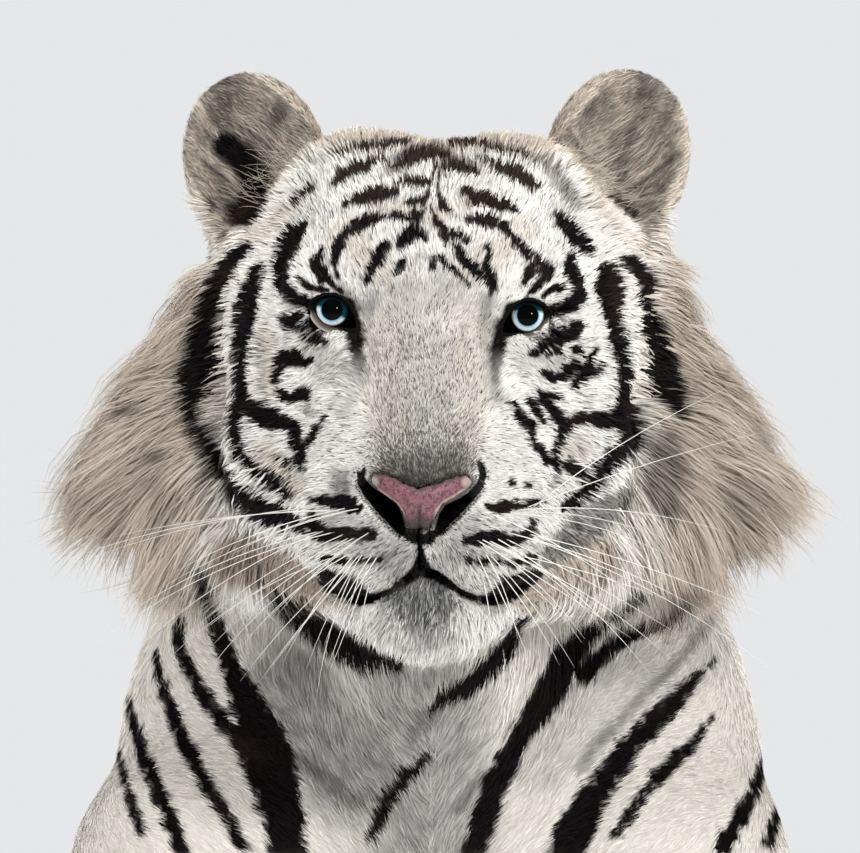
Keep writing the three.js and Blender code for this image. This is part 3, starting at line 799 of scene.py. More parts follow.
# For each round of splitting: how far from an eye and how deep it reaches, and on the muzzle
# how far across, how deep, and how far above and below the lips.
FINER = [((32, -42), (76, 5, 48)), ((24, -30), (66, 18, 28))]
LIPS_UP = -140


def make_skin():
    points, triangles = facets(sampled(body, LINES), LINES)
    points = settled(body, points, 1, 4.0)
    points = relaxed(points, triangles, 0.5)
    points = settled(body, points, 2, 4.0)
    for level in range(3):
        q = on_head(points)
        across, forward, up = np.abs(q[:, 0]), q[:, 1], q[:, 2]
        from_eye = np.hypot(across - EYE_SPREAD, up)
        if level == 0:
            wanted = (forward > -75) & (up > -225)
        else:
            (reach, deep), (wide, ahead, tall) = FINER[level - 1]
            wanted = (from_eye < reach) & (forward > deep)
            wanted |= (across < wide) & (forward > ahead) & (np.abs(up - LIPS_UP) < tall)
        old = len(points)
        points, triangles = refined(points, triangles, wanted)
        moved = on_head(points)[:, 1] > -80
        if level:
            moved[:old] &= wanted
        points[moved] = settled(face, points[moved], 2, 3.0)
    for last in (False, False, True):
        q = on_head(points)
        near = (q[:, 1] > -80) & (q[:, 2] > -250)
        points = relaxed(points, triangles, 0.5, near.astype(float))
        if last:
            points = to_lids(points, LID_SNAP)
        points[near] = settled(face, points[near], 2, 2.0)
    return points, triangles


SKIN, SKIN_TRIANGLES = make_skin()
SKIN_NORMALS = vertex_normals(SKIN, SKIN_TRIANGLES)


# ---------------------------------------------------------------- making meshes
PAINT = "Markings"  # the layer that holds the colours


def new_mesh(name, points, loops, counts):
    """Mesh from points in millimetres, its faces as one list of corners and their counts."""
    mesh = bpy.data.meshes.new(name)
    mesh.vertices.add(len(points))
    mesh.vertices.foreach_set("co", (points * MM + SHIFT).astype(np.float32).ravel())
    mesh.loops.add(len(loops))
    mesh.loops.foreach_set("vertex_index", loops.astype(np.int32))
    mesh.polygons.add(len(counts))
    starts = np.concatenate([[0], np.cumsum(counts)[:-1]])
    mesh.polygons.foreach_set("loop_start", starts.astype(np.int32))
    mesh.polygons.foreach_set("use_smooth", np.ones(len(counts), bool))
    mesh.update(calc_edges=True)
    thing = bpy.data.objects.new(name, mesh)
    bpy.context.scene.collection.objects.link(thing)
    return thing


def triangle_mesh(name, points, triangles):
    return new_mesh(name, points, triangles.ravel(), np.full(len(triangles), 3))


def paint(thing, colours):
    """Gives a mesh its colours, point by point."""
    layer = thing.data.color_attributes.new(PAINT, "FLOAT_COLOR", "POINT")
    full = np.ones((len(colours), 4), np.float32)
    full[:, :3] = colours
    layer.data.foreach_set("color", full.ravel())


# ---------------------------------------------------------------- markings seen from in front
# Each mark is its widths from end to end and the places its line passes, in pixels of the picture.
FOREHEAD_RIGHT = [
    ((7, 11, 13, 11, 6), [(394, 164), (408, 156), (422, 152), (436, 151), (450, 156)]),
    ((6, 11, 11, 5), [(442, 166), (454, 163), (467, 166), (480, 172)]),
    ((3, 5, 6, 5), [(330, 149), (354, 145), (388, 141), (408, 139)]),
    ((5, 12, 13, 8, 3), [(333, 181), (344, 172), (358, 165), (371, 160), (384, 156)]),
    ((5, 10, 14, 13, 8), [(343, 208), (348, 201), (360, 196), (375, 193), (394, 190)]),
    ((4, 7, 10, 8, 13, 8, 5, 8, 8), [
        (334, 265), (335, 255), (338, 244), (346, 231), (373, 217), (388, 215), (400, 215),
        (411, 216), (419, 214)]),
    ((4, 8, 9, 5), [(394, 183), (407, 180), (417, 180), (431, 176)]),
    ((3, 6, 7, 3), [(428, 190), (424, 197), (417, 200), (408, 201)]),
    ((2, 2, 3), [(436, 162), (430, 183), (421, 218)]),
    ((5, 12, 14, 8), [(399, 245), (407, 236), (417, 231), (424, 236)]),
    ((5, 9, 12, 5), [(367, 278), (373, 265), (379, 251), (388, 240)]),
    ((3, 6, 4), [(394, 271), (400, 264), (405, 258)]),
    ((3, 8, 5), [(291, 202), (300, 194), (311, 185)]),
    ((8, 20, 20, 15, 13, 11, 9, 7), [
        (303, 222), (290, 236), (283, 250), (280, 268), (281, 284), (288, 294), (299, 300),
        (318, 303)]),
    ((6, 11, 11, 8, 4), [(322, 249), (316, 262), (322, 273), (331, 284), (340, 291)]),
    ((3, 5, 5, 4), [(297, 277), (306, 285), (316, 288), (327, 289)]),
    ((3, 3), [(333, 262), (338, 277)]),
]
FOREHEAD_LEFT = [
    ((3, 6, 6, 6, 4), [(449, 141), (470, 140), (491, 143), (508, 147), (527, 151)]),
    ((3, 8, 14, 13, 7), [(480, 157), (497, 163), (512, 169), (525, 177), (538, 184)]),
    ((8, 12, 14, 12, 7), [(466, 189), (474, 195), (489, 198), (502, 203), (515, 209)]),
    ((5, 11, 10, 8, 8, 7, 5), [
        (468, 218), (483, 218), (493, 222), (506, 229), (516, 240), (527, 253), (533, 266)]),
    ((4, 8, 4), [(534, 262), (529, 273), (525, 282)]),
    ((10, 8, 4), [(447, 235), (460, 234), (472, 240)]),
    ((5, 10, 9, 4), [(455, 242), (462, 255), (472, 265), (483, 277)]),
    ((4, 5, 4, 3), [(438, 254), (449, 265), (461, 275), (470, 284)]),
    ((5, 8, 7, 8, 7, 4), [(488, 246), (490, 257), (487, 263), (490, 276), (493, 286), (490, 295)]),
    ((2, 2, 3, 7, 4), [(439, 170), (438, 182), (440, 198), (444, 206), (452, 210)]),
    ((3, 5, 8, 9, 4), [(430, 205), (434, 214), (438, 224), (442, 226), (446, 236)]),
    ((3, 4), [(432, 254), (433, 266)]),
    ((7, 11, 11, 8, 4), [(537, 254), (545, 264), (548, 275), (538, 284), (528, 295)]),
    ((7, 7, 4), [(563, 288), (554, 288), (545, 295)]),
    ((9, 15, 16, 9), [(560, 214), (571, 227), (579, 238), (590, 249)]),
    ((8, 13, 13, 14, 15, 12, 7), [
        (572, 255), (571, 266), (576, 277), (580, 289), (577, 301), (563, 309), (547, 309)]),
]
CHEEK_RIGHT = [
    ((11, 17, 18, 15, 12, 6), [(283, 320), (292, 321), (301, 326), (308, 334), (315, 340), (321, 344)]),
    ((9, 17, 14, 4), [(280, 356), (289, 359), (298, 361), (310, 361)]),
    ((9, 8, 7), [(277, 364), (275, 374), (272, 379)]),
    ((11, 11), [(280, 395), (286, 397)]),
    ((11, 12), [(296, 396), (303, 394)]),
    ((3, 5, 6, 8, 8), [(323, 416), (316, 429), (309, 438), (302, 449), (299, 463)]),
    ((8, 12, 19, 19, 14, 13, 13, 14), [
        (257, 267), (250, 283), (246, 299), (243, 319), (239, 340), (237, 361), (238, 383),
        (239, 401)]),
    ((8, 14, 16, 18, 19, 21, 23, 24, 22, 17, 14, 14, 17, 18, 12), [
        (246, 247), (234, 256), (225, 267), (216, 279), (209, 297), (203, 317), (199, 336),
        (195, 356), (191, 380), (190, 405), (196, 427), (203, 445), (210, 463), (221, 481),
        (234, 491)]),
    ((12, 18, 19, 17, 14, 10, 9, 7), [
        (238, 405), (251, 411), (265, 418), (280, 422), (291, 427), (295, 437), (298, 451),
        (298, 468)]),
    ((13, 12, 11, 11, 11, 13, 13, 7), [
        (234, 411), (232, 428), (234, 445), (241, 460), (251, 470), (264, 479), (276, 488),
        (288, 496)]),
    ((9, 9), [(279, 462), (285, 464)]),
    ((8, 18, 22, 18, 10), [(222, 486), (243, 503), (266, 516), (286, 521), (300, 528)]),
]
CHEEK_LEFT = [
    ((12, 17, 17, 13, 9, 4), [(578, 326), (570, 332), (560, 337), (551, 342), (543, 348), (531, 355)]),
    ((4, 6), [(549, 356), (560, 351)]),
    ((6, 7), [(574, 351), (580, 350)]),
    ((6, 10, 10, 11), [(545, 373), (555, 378), (566, 375), (575, 366)]),
    ((9, 12, 9, 4), [(577, 383), (586, 375), (593, 362), (596, 350)]),
    ((6, 6), [(599, 373), (603, 365)]),
    ((3, 7, 10, 7, 6, 4), [(514, 402), (523, 417), (531, 428), (535, 442), (543, 454), (548, 463)]),
    ((4, 9, 5), [(531, 401), (539, 411), (545, 422)]),
    ((4, 7, 11, 9), [(539, 391), (547, 403), (555, 413), (562, 422)]),
    ((4, 6), [(551, 395), (559, 397)]),
    ((18, 25, 18, 16, 15, 13, 12, 14, 22, 20, 20, 15, 14, 14, 12, 8), [
        (610, 272), (612, 289), (614, 309), (617, 330), (623, 347), (627, 366), (627, 387),
        (626, 404), (631, 419), (635, 434), (631, 449), (620, 457), (610, 466), (602, 479),
        (590, 491), (568, 508)]),
    ((16, 14, 12, 11, 11, 11, 9, 8, 6), [
        (623, 418), (610, 421), (594, 420), (580, 420), (570, 426), (563, 436), (559, 448),
        (557, 460), (559, 471)]),
    ((6, 9, 9, 5), [(566, 466), (576, 466), (582, 473), (590, 475)]),
    ((6, 14, 16, 12), [(627, 258), (639, 266), (647, 279), (654, 286)]),
    ((8, 12, 14, 17, 20, 23, 21, 12), [
        (646, 292), (655, 316), (660, 338), (664, 354), (667, 371), (670, 387), (674, 402),
        (679, 412)]),
]
MUZZLE_MARKS = [
    ((5, 10, 12, 14, 8), [(311, 500), (323, 500), (336, 503), (351, 505), (358, 508)]),
    ((8, 13, 11, 11, 12, 8), [(303, 525), (315, 530), (322, 536), (333, 536), (350, 534), (371, 536)]),
    ((5, 8, 8), [(310, 512), (313, 519), (316, 527)]),
    ((7, 10, 10, 8, 7), [(491, 509), (504, 506), (522, 506), (534, 504), (544, 501)]),
    ((6, 11, 13, 12, 10, 9, 7), [
        (467, 541), (479, 539), (492, 537), (507, 541), (522, 539), (532, 533), (535, 522)]),
    ((5, 5), [(512, 480), (513, 482)]),
    ((3, 4, 1), [(361, 479), (362, 474), (364, 469)]),
    ((5, 5, 2), [(483, 478), (483, 470), (480, 462)]),
    ((4, 7, 4), [(323, 559), (333, 561)]),
    ((4, 7, 4), [(339, 562), (347, 561)]),
    ((3, 6, 3), [(353, 562), (359, 561)]),
    ((3, 5, 3), [(365, 561), (370, 561)]),
    ((3, 4), [(377, 560), (380, 559)]),
    ((3, 5, 3), [(468, 561), (473, 562)]),
    ((4, 7, 4), [(480, 563), (488, 562)]),
    ((4, 7, 4), [(495, 562), (503, 564)]),
    ((4, 8, 5), [(510, 565), (519, 564)]),
    ((4, 8, 4), [(527, 562), (536, 558)]),
    ((5, 5), [(528, 484), (530, 486)]),
]
LIPS = [
    ((8, 17, 20, 14, 8), [(320, 575), (336, 583), (349, 590), (358, 597), (368, 599)]),
    ((5, 3, 3, 3, 4), [(361, 601), (375, 596), (390, 591), (405, 580), (419, 569)]),
    ((4, 3, 3, 3, 5), [(422, 569), (434, 576), (449, 586), (466, 596), (481, 600)]),
    ((5, 14, 20, 14, 6), [(480, 600), (496, 598), (512, 588), (529, 579), (541, 573)]),
    ((6, 4, 4, 6), [(420, 540), (421, 550), (421, 560), (421, 570)]),
    ((7, 10, 7), [(406, 532), (420, 541), (438, 533)]),
]
JAW_MARKS = [
    ((12, 22, 28, 26, 22, 10), [(276, 608), (300, 622), (325, 637), (346, 652), (372, 664), (398, 669)]),
    ((6, 14, 18, 19, 18, 14, 7), [
        (519, 622), (512, 642), (500, 660), (484, 676), (464, 690), (444, 702), (432, 712)]),
]
SHOULDER_RIGHT = [
    ((10, 13, 15, 17, 26, 36, 40, 32, 26, 26), [
        (201, 570), (208, 598), (218, 630), (230, 662), (243, 691), (257, 722), (266, 744),
        (276, 767), (285, 800), (296, 860)]),
    ((8, 11, 12, 14, 16, 18, 20, 18, 18), [
        (179, 622), (180, 648), (193, 676), (209, 702), (226, 726), (243, 745), (256, 772),
        (268, 800), (282, 860)]),
    ((6, 10, 12, 12, 12, 10, 9), [
        (156, 655), (161, 682), (171, 706), (181, 735), (196, 763), (217, 800), (246, 850)]),
    ((5, 9, 12, 14, 13, 12), [(128, 703), (136, 733), (145, 757), (155, 781), (166, 808), (186, 860)]),
    ((5, 8, 9), [(117, 754), (126, 783), (142, 830)]),
    ((7, 10, 14, 14, 8), [(428, 758), (413, 773), (397, 791), (385, 808), (372, 840)]),
]
SHOULDER_LEFT = [
    ((6, 11, 14, 17, 27, 27, 25, 22, 20, 21, 23, 22, 20, 20), [
        (641, 594), (620, 611), (600, 626), (582, 643), (566, 661), (556, 682), (545, 702),
        (534, 717), (523, 733), (512, 752), (503, 770), (494, 788), (485, 812), (470, 860)]),
    ((8, 16, 14, 12, 13, 16, 20), [
        (684, 603), (665, 619), (647, 629), (628, 638), (610, 649), (596, 661), (582, 674)]),
    ((3, 8, 15, 20, 20, 20, 22, 25, 30, 33, 30), [
        (714, 662), (699, 675), (683, 691), (669, 707), (654, 721), (638, 737), (624, 755),
        (610, 773), (598, 788), (584, 812), (560, 860)]),
    ((3, 7, 12, 12, 9, 9, 10), [
        (713, 718), (699, 735), (683, 753), (668, 766), (655, 780), (641, 796), (615, 835)]),
    ((5, 9, 12, 14, 13), [(766, 753), (761, 774), (754, 792), (742, 814), (722, 850)]),
    ((5, 8, 9), [(786, 786), (780, 808), (768, 845)]),
]
# Marks that are grey or brown: share of the dark colour, widths and places.
FAINT = [
    (0.85, (14, 17, 16, 13, 8), [(392, 165), (407, 156), (421, 151), (436, 148), (452, 154)]),
    (0.95, (10, 14, 13, 5), [(442, 164), (454, 161), (467, 164), (480, 171)]),
    (0.4, (5, 6, 4), [(325, 152), (318, 158), (308, 163)]),
    (0.75, (8, 10, 8), [(535, 155), (550, 163), (560, 172)]),
    (0.75, (8, 13, 14, 8), [(549, 167), (563, 181), (573, 194), (579, 204)]),
    (0.35, (4, 5, 4), [(411, 266), (415, 259), (418, 253)]),
    (0.4, (5, 7, 6, 5), [(259, 338), (258, 356), (261, 374), (259, 388)]),
    (0.6, (5, 7, 4), [(307, 404), (305, 412), (315, 413)]),
    (0.35, (2, 3), [(337, 394), (323, 416)]),
    (0.35, (3, 5), [(596, 328), (597, 347)]),
    (0.5, (3, 6, 6), [(346, 474), (344, 487), (345, 500)]),
    (0.4, (3, 5), [(335, 476), (337, 486)]),
    (0.5, (4, 6, 7, 6, 5, 3), [(328, 560), (341, 561), (353, 561), (366, 561), (380, 559), (393, 555)]),
    (0.5, (3, 7, 7, 7, 5, 3), [(467, 561), (481, 563), (496, 561), (511, 565), (527, 561), (541, 554)]),
    (0.6, (5, 6), [(555, 486), (558, 480)]),
    (0.75, (8, 22, 29, 31, 27, 14), [
        (668, 432), (668, 452), (667, 470), (662, 487), (666, 503), (670, 514)]),
    (0.88, (10, 22, 29, 28, 24, 18), [
        (628, 496), (608, 514), (593, 527), (577, 537), (561, 549), (550, 560)]),
    (0.7, (24, 20, 12), [(690, 594), (681, 603), (670, 613)]),
    (0.35, (26, 22, 10), [(660, 600), (640, 618), (615, 640)]),
    (0.62, (5, 7, 9, 9, 7, 7, 9, 11, 11, 8), [
        (717, 613), (704, 629), (690, 647), (676, 663), (661, 679), (643, 695), (628, 712),
        (610, 730), (596, 744), (578, 770)]),
    (0.6, (8, 12, 13, 8), [(285, 754), (312, 768), (336, 787), (358, 804)]),
    (0.6, (6, 9, 9), [(486, 774), (470, 792), (455, 812)]),
    (0.5, (8, 15, 10), [(440, 704), (427, 722), (414, 740)]),
    (0.85, (8, 11, 8), [(118, 412), (128, 409), (137, 412)]),
    (0.6, (8, 10, 8), [(146, 448), (158, 455), (166, 458)]),
    (0.5, (8, 10), [(148, 480), (157, 487)]),
    (0.5, (8, 9), [(158, 522), (167, 530)]),
    (0.5, (16, 20), [(352, 366), (358, 372)]),
]
BLACK_MARKS = (
    FOREHEAD_RIGHT + FOREHEAD_LEFT + CHEEK_RIGHT + CHEEK_LEFT + MUZZLE_MARKS + LIPS + JAW_MARKS
    + SHOULDER_RIGHT + SHOULDER_LEFT
)
MOUTH_MIDDLE = [
    (417, 556), (425, 556), (430, 566), (442, 575), (456, 586), (441, 585), (422, 577), (404, 586),
    (388, 594), (402, 578), (412, 567),
]
TEAR_RIGHT = [
    (343, 333), (350, 326), (357, 318), (362, 324), (364, 338), (361, 350), (366, 361),
    (363, 371), (356, 374), (350, 366), (348, 352), (346, 342),
]
TEAR_LEFT = [
    (503, 322), (498, 318), (495, 328), (491, 342), (490, 356), (492, 368), (495, 380),
    (500, 381), (503, 366), (505, 352), (508, 340), (508, 330),
]
# Soft patches of another tone: tone, amount, softness, width and places. Many of the grey and dark
# patches are painted shade: at the inner corners of the eyes and under them, between the eyes, down the
# bridge, on the lower muzzle, under the lips and chin, and on the throat and chest below the head.
SOFT_TONES_AND_SHADE = [
    ("lead", 0.60, 14, 12, [(374, 296), (367, 316), (371, 340), (374, 356)]),
    ("lead", 0.62, 13, 14, [(488, 300), (484, 326), (487, 350), (492, 376), (499, 398)]),
    ("lead", 0.32, 18, 26, [(312, 352), (332, 368), (346, 388), (340, 410)]),
    ("lead", 0.30, 16, 20, [(520, 356), (540, 362), (560, 366)]),
    ("lead", 0.26, 24, 34, [(404, 292), (424, 302), (446, 292)]),
    ("lead", 0.30, 30, 60, [(425, 360), (426, 400), (427, 440)]),
    ("lead", 0.60, 20, 34, [(396, 462), (426, 466), (458, 462)]),
    ("pepper", 0.9, 20, 28, [(398, 470), (424, 474), (452, 470)]),
    ("lead", 0.55, 18, 26, [(338, 480), (344, 496)]),
    ("lead", 0.35, 20, 40, [(330, 520), (362, 548), (396, 560)]),
    ("lead", 0.15, 20, 36, [(500, 540), (466, 556)]),
    ("lead", 0.62, 44, 90, [(292, 690), (316, 730), (348, 780)]),
    ("lead", 0.28, 36, 70, [(540, 760), (610, 700), (700, 650)]),
    ("snow", 0.55, 30, 40, [(410, 756), (450, 740), (480, 770), (450, 812)]),
    ("umber", 0.4, 10, 8, [(374, 470), (392, 470), (412, 480), (432, 482), (452, 472), (466, 470)]),
    ("umber", 0.4, 16, 20, [(316, 578), (334, 594), (352, 604)]),
    ("umber", 0.4, 16, 20, [(534, 578), (512, 594), (494, 606)]),
    ("lead", 0.55, 60, 120, [(424, 700), (430, 760), (430, 850)]),
    ("umber", 0.75, 14, 14, [(402, 585), (421, 579), (440, 586)]),
    ("lead", 0.55, 18, 26, [(398, 600), (421, 606), (444, 600)]),
    ("pepper", 0.7, 13, 10, [(338, 287), (350, 295), (358, 309)]),
    ("lead", 0.65, 12, 8, [(508, 305), (501, 316), (496, 328)]),
    ("sand", 0.3, 24, 40, [(380, 330), (380, 400), (392, 440)]),
    ("sand", 0.3, 24, 40, [(474, 330), (476, 400), (462, 440)]),
    ("sand", 0.5, 20, 30, [(340, 230), (380, 270)]),
    ("sand", 0.5, 20, 30, [(520, 230), (470, 270)]),
    ("lead", 0.25, 16, 20, [(358, 520), (384, 548), (398, 566)]),
    ("lead", 0.25, 16, 20, [(478, 520), (458, 546), (446, 562)]),
    ("lead", 0.4, 16, 20, [(421, 606), (422, 634)]),
    ("taupe", 0.95, 16, 46, [(232, 560), (262, 572), (300, 592)]),
    ("umber", 0.34, 16, 36, [(240, 560), (270, 574), (306, 592)]),
    ("umber", 0.2, 16, 36, [(604, 562), (570, 580), (536, 596)]),
    ("taupe", 0.7, 14, 20, [(312, 600), (336, 606)]),
    ("taupe", 0.8, 16, 40, [(600, 560), (570, 580), (532, 596)]),
    ("taupe", 0.55, 14, 24, [(262, 452), (272, 470), (292, 486)]),
    ("taupe", 0.45, 14, 24, [(584, 446), (572, 454)]),
    ("taupe", 0.55, 16, 18, [(262, 330), (266, 362), (266, 392)]),
    ("taupe", 0.45, 12, 14, [(298, 200), (270, 222), (244, 240)]),
    ("taupe", 0.40, 12, 14, [(590, 196), (620, 226), (640, 246)]),
    ("taupe", 0.75, 7, 7, [(322, 138), (360, 134), (430, 131), (500, 134), (552, 141)]),
    ("taupe", 0.4, 10, 16, [(326, 146), (380, 142), (430, 140), (490, 142), (548, 150)]),
    ("taupe", 0.45, 16, 20, [(380, 200), (430, 214), (470, 200)]),
    ("snow", 0.9, 10, 30, [(242, 600), (280, 618), (318, 640)]),
    ("snow", 0.8, 10, 16, [(330, 616), (352, 640), (380, 654), (420, 664), (462, 652), (486, 630)]),
]


WIDEN = (1.12, 1.7)  # marks are drawn wider, as pale tufts close over their edges
MOST_RAGGED = 3.2


def marked(xy, widths, places, ragged, edge=1.4):
    """Cover of one mark, from 0 to 1, with an uneven edge."""
    widths = np.array(widths) * WIDEN[0] + WIDEN[1]
    places = np.array(places, float)
    steps = max(4, 3 * (len(places) - 1))
    along = np.linspace(0, 1, len(widths))
    places = smooth_path(places, steps)
    widths = np.interp(np.linspace(0, 1, len(places)), along, widths)
    margin = max(widths) + edge + 3
    near = np.all((xy > places.min(0) - margin) & (xy < places.max(0) + margin), axis=1)
    cover = np.zeros(len(xy))
    if near.any():
        rough = ragged[near] * min(MOST_RAGGED, max(widths) / 4)
        cover[near] = step(edge, -edge, stroke(xy[near], places, widths) + rough)
    return cover


# ---------------------------------------------------------------- colours
def shade(r, g, b):
    """Linear colour from one given as 0 to 255 on a screen."""
    v = np.array([r, g, b]) / 255
    return np.where(v <= 0.04045, v / 12.92, ((v + 0.055) / 1.055) ** 2.4)


def laid_over(colour, tint, amount):
    """Colours with a tint laid over them, by an amount from 0 to 1 at each point."""
    return colour + (tint - colour) * np.clip(amount, 0, 1)[:, None]


CREAM = shade(242, 237, 229)
SNOW = shade(246, 243, 238)
TAUPE = shade(188, 172, 155)
SAND = shade(212, 199, 182)
DRAB = shade(160, 152, 142)
INK = shade(17, 14, 14)
UMBER = shade(58, 46, 41)
LEAD = shade(104, 106, 108)
PEPPER = shade(46, 46, 46)
TONES = {"lead": LEAD, "taupe": TAUPE, "snow": SNOW, "umber": UMBER, "sand": SAND, "ink": INK,
         "pepper": PEPPER}
# The line along the top of head, neck and back, which the bands cross.
SPINE = np.array([
    (0, -420, 1075), (0, -260, 1160), (0, -110, 1125), (0, 20, 1010), (LEAN, 120, 930),
    (0, 300, 790), (0, 480, 650), (0, 640, 500), (0, 780, 330), (0, 850, 180),
], float)
BAND_SPACING = 74.0
LEG_SPACING = 66.0
TAIL_BANDS = 9


def body_bands(p, normal):
    """Cover of the stripes on the sides, back, legs and tail, from 0 to 1."""
    share, far = along_path(p, SPINE)
    run = share * np.linalg.norm(np.diff(SPINE, axis=0), axis=1).sum()
    drift = noise(p, 150, 21) * 22 + noise(p, 60, 22) * 8 + noise(p, 18, 23) * 2.5
    wave = (run + drift) / BAND_SPACING
    near = np.abs(wave - np.round(wave)) * BAND_SPACING
    number = np.round(wave)
    thick = 10 + 5.5 * noise(np.stack([number * 40, p[:, 2], p[:, 0]], 1), 90, 24)
    thick = thick + 3.5 * noise(p, 40, 25)
    # The bands part in two low on the flank and die out on the belly.
    low_down = step(120, 260, far)
    fork = np.abs(near - 11 * low_down * (0.6 + 0.4 * noise(p, 70, 26)))
    body_cover = step(2.5, -2.5, fork - thick * mix(1.0, 0.55, low_down))
    body_cover *= step(-0.75, -0.25, normal[:, 2] + 0.25 * noise(p, 60, 27))
    body_cover *= step(1.0, 0.98, share)
    # Forelegs: short bars on the inner and outer sides, none in front.
    wave = (p[:, 2] + noise(p, 80, 31) * 26 + noise(p, 30, 32) * 7) / LEG_SPACING
    near = np.abs(wave - np.round(wave)) * LEG_SPACING
    side = step(0.1, 0.75, np.abs(normal[:, 0]) + 0.3 * noise(p, 50, 33))
    bars = step(2, -2, near - (9 * side - 1.5)) * side
    foreleg_here = step(520, 430, p[:, 2]) * step(170, 110, p[:, 1])
    paws_here = step(125, 85, p[:, 2])
    # The tail: rings, closer and darker to a black tip.
    ring_share, ring_far = along_path(p, TAIL_PATH)
    wave = ring_share * TAIL_BANDS + noise(p, 45, 34) * 0.12
    near = np.abs(wave - np.round(wave))
    ring = step(0.05, -0.05, near - 0.22 - 0.08 * noise(p, 30, 35))
    ring = np.maximum(ring, step(0.93, 0.955, ring_share))
    tail_here = step(TAIL_ROOT + 14, TAIL_ROOT - 4, ring_far) * step(0.0, 0.05, ring_share)
    cover = mix(body_cover, bars, foreleg_here)
    cover = cover * (1 - paws_here)
    return mix(cover, ring, tail_here)


# Outlines of the ears' insides in the picture, and soft patches of tone within them; the dark ones are
# mostly painted shade in each ear's hollow and under its rim.
EAR_RIGHT = [
    (319, 133), (299, 111), (283, 95), (256, 76), (235, 68), (208, 76), (188, 98), (178, 143),
    (184, 168), (200, 198), (212, 232), (217, 250), (226, 238), (237, 221), (248, 208),
    (264, 194), (274, 180), (289, 166), (300, 154),
]
EAR_LEFT = [
    (557, 138), (581, 108), (606, 80), (637, 66), (658, 68), (681, 94), (688, 133), (687, 162),
    (670, 190), (667, 217), (654, 262), (640, 222), (628, 210), (616, 190), (598, 176),
    (580, 167), (569, 152),
]
EAR_TONES_AND_SHADE = [
    ("umber", 0.6, 5, 5, [(200, 92), (222, 82), (246, 81), (266, 90)]),
    ("umber", 0.3, 10, 12, [(214, 118), (232, 128), (250, 150)]),
    ("ink", 1.0, 9, 30, [(226, 146), (241, 158), (251, 172), (253, 188), (247, 204), (239, 213)]),
    ("umber", 0.6, 8, 12, [(246, 200), (236, 212), (230, 220)]),
    ("ink", 0.8, 3, 5, [(206, 199), (211, 204), (209, 211)]),
    ("sand", 0.55, 10, 10, [(236, 112), (256, 124), (280, 146)]),
    ("sand", 0.5, 10, 10, [(190, 150), (200, 172), (214, 186)]),
    ("umber", 0.35, 8, 12, [(214, 168), (222, 186), (226, 204)]),
    ("umber", 0.25, 8, 8, [(620, 136), (638, 138), (656, 134)]),
    ("umber", 0.3, 9, 10, [(614, 166), (630, 158), (650, 160)]),
    ("umber", 0.35, 9, 10, [(618, 178), (630, 184), (644, 184)]),
    ("umber", 0.95, 4, 8, [(615, 194), (626, 205), (636, 214)]),
    ("umber", 0.35, 5, 7, [(662, 90), (672, 98)]),
    ("umber", 0.35, 5, 5, [(606, 90), (622, 81), (640, 77)]),
    ("umber", 0.3, 8, 12, [(672, 150), (668, 170), (656, 186)]),
    ("sand", 0.45, 10, 12, [(646, 104), (620, 122), (592, 146)]),
]


def soft_stroke(xy, width, softness, places):
    """Cover of a stroke with a soft edge."""
    places = np.array(places, float)
    reach = width / 2 + softness
    near = np.all((xy > places.min(0) - reach) & (xy < places.max(0) + reach), axis=1)
    cover = np.zeros(len(xy))
    if near.any():
        cover[near] = step(softness / 2, -softness / 2, stroke(xy[near], places, [width, width]))
    return cover


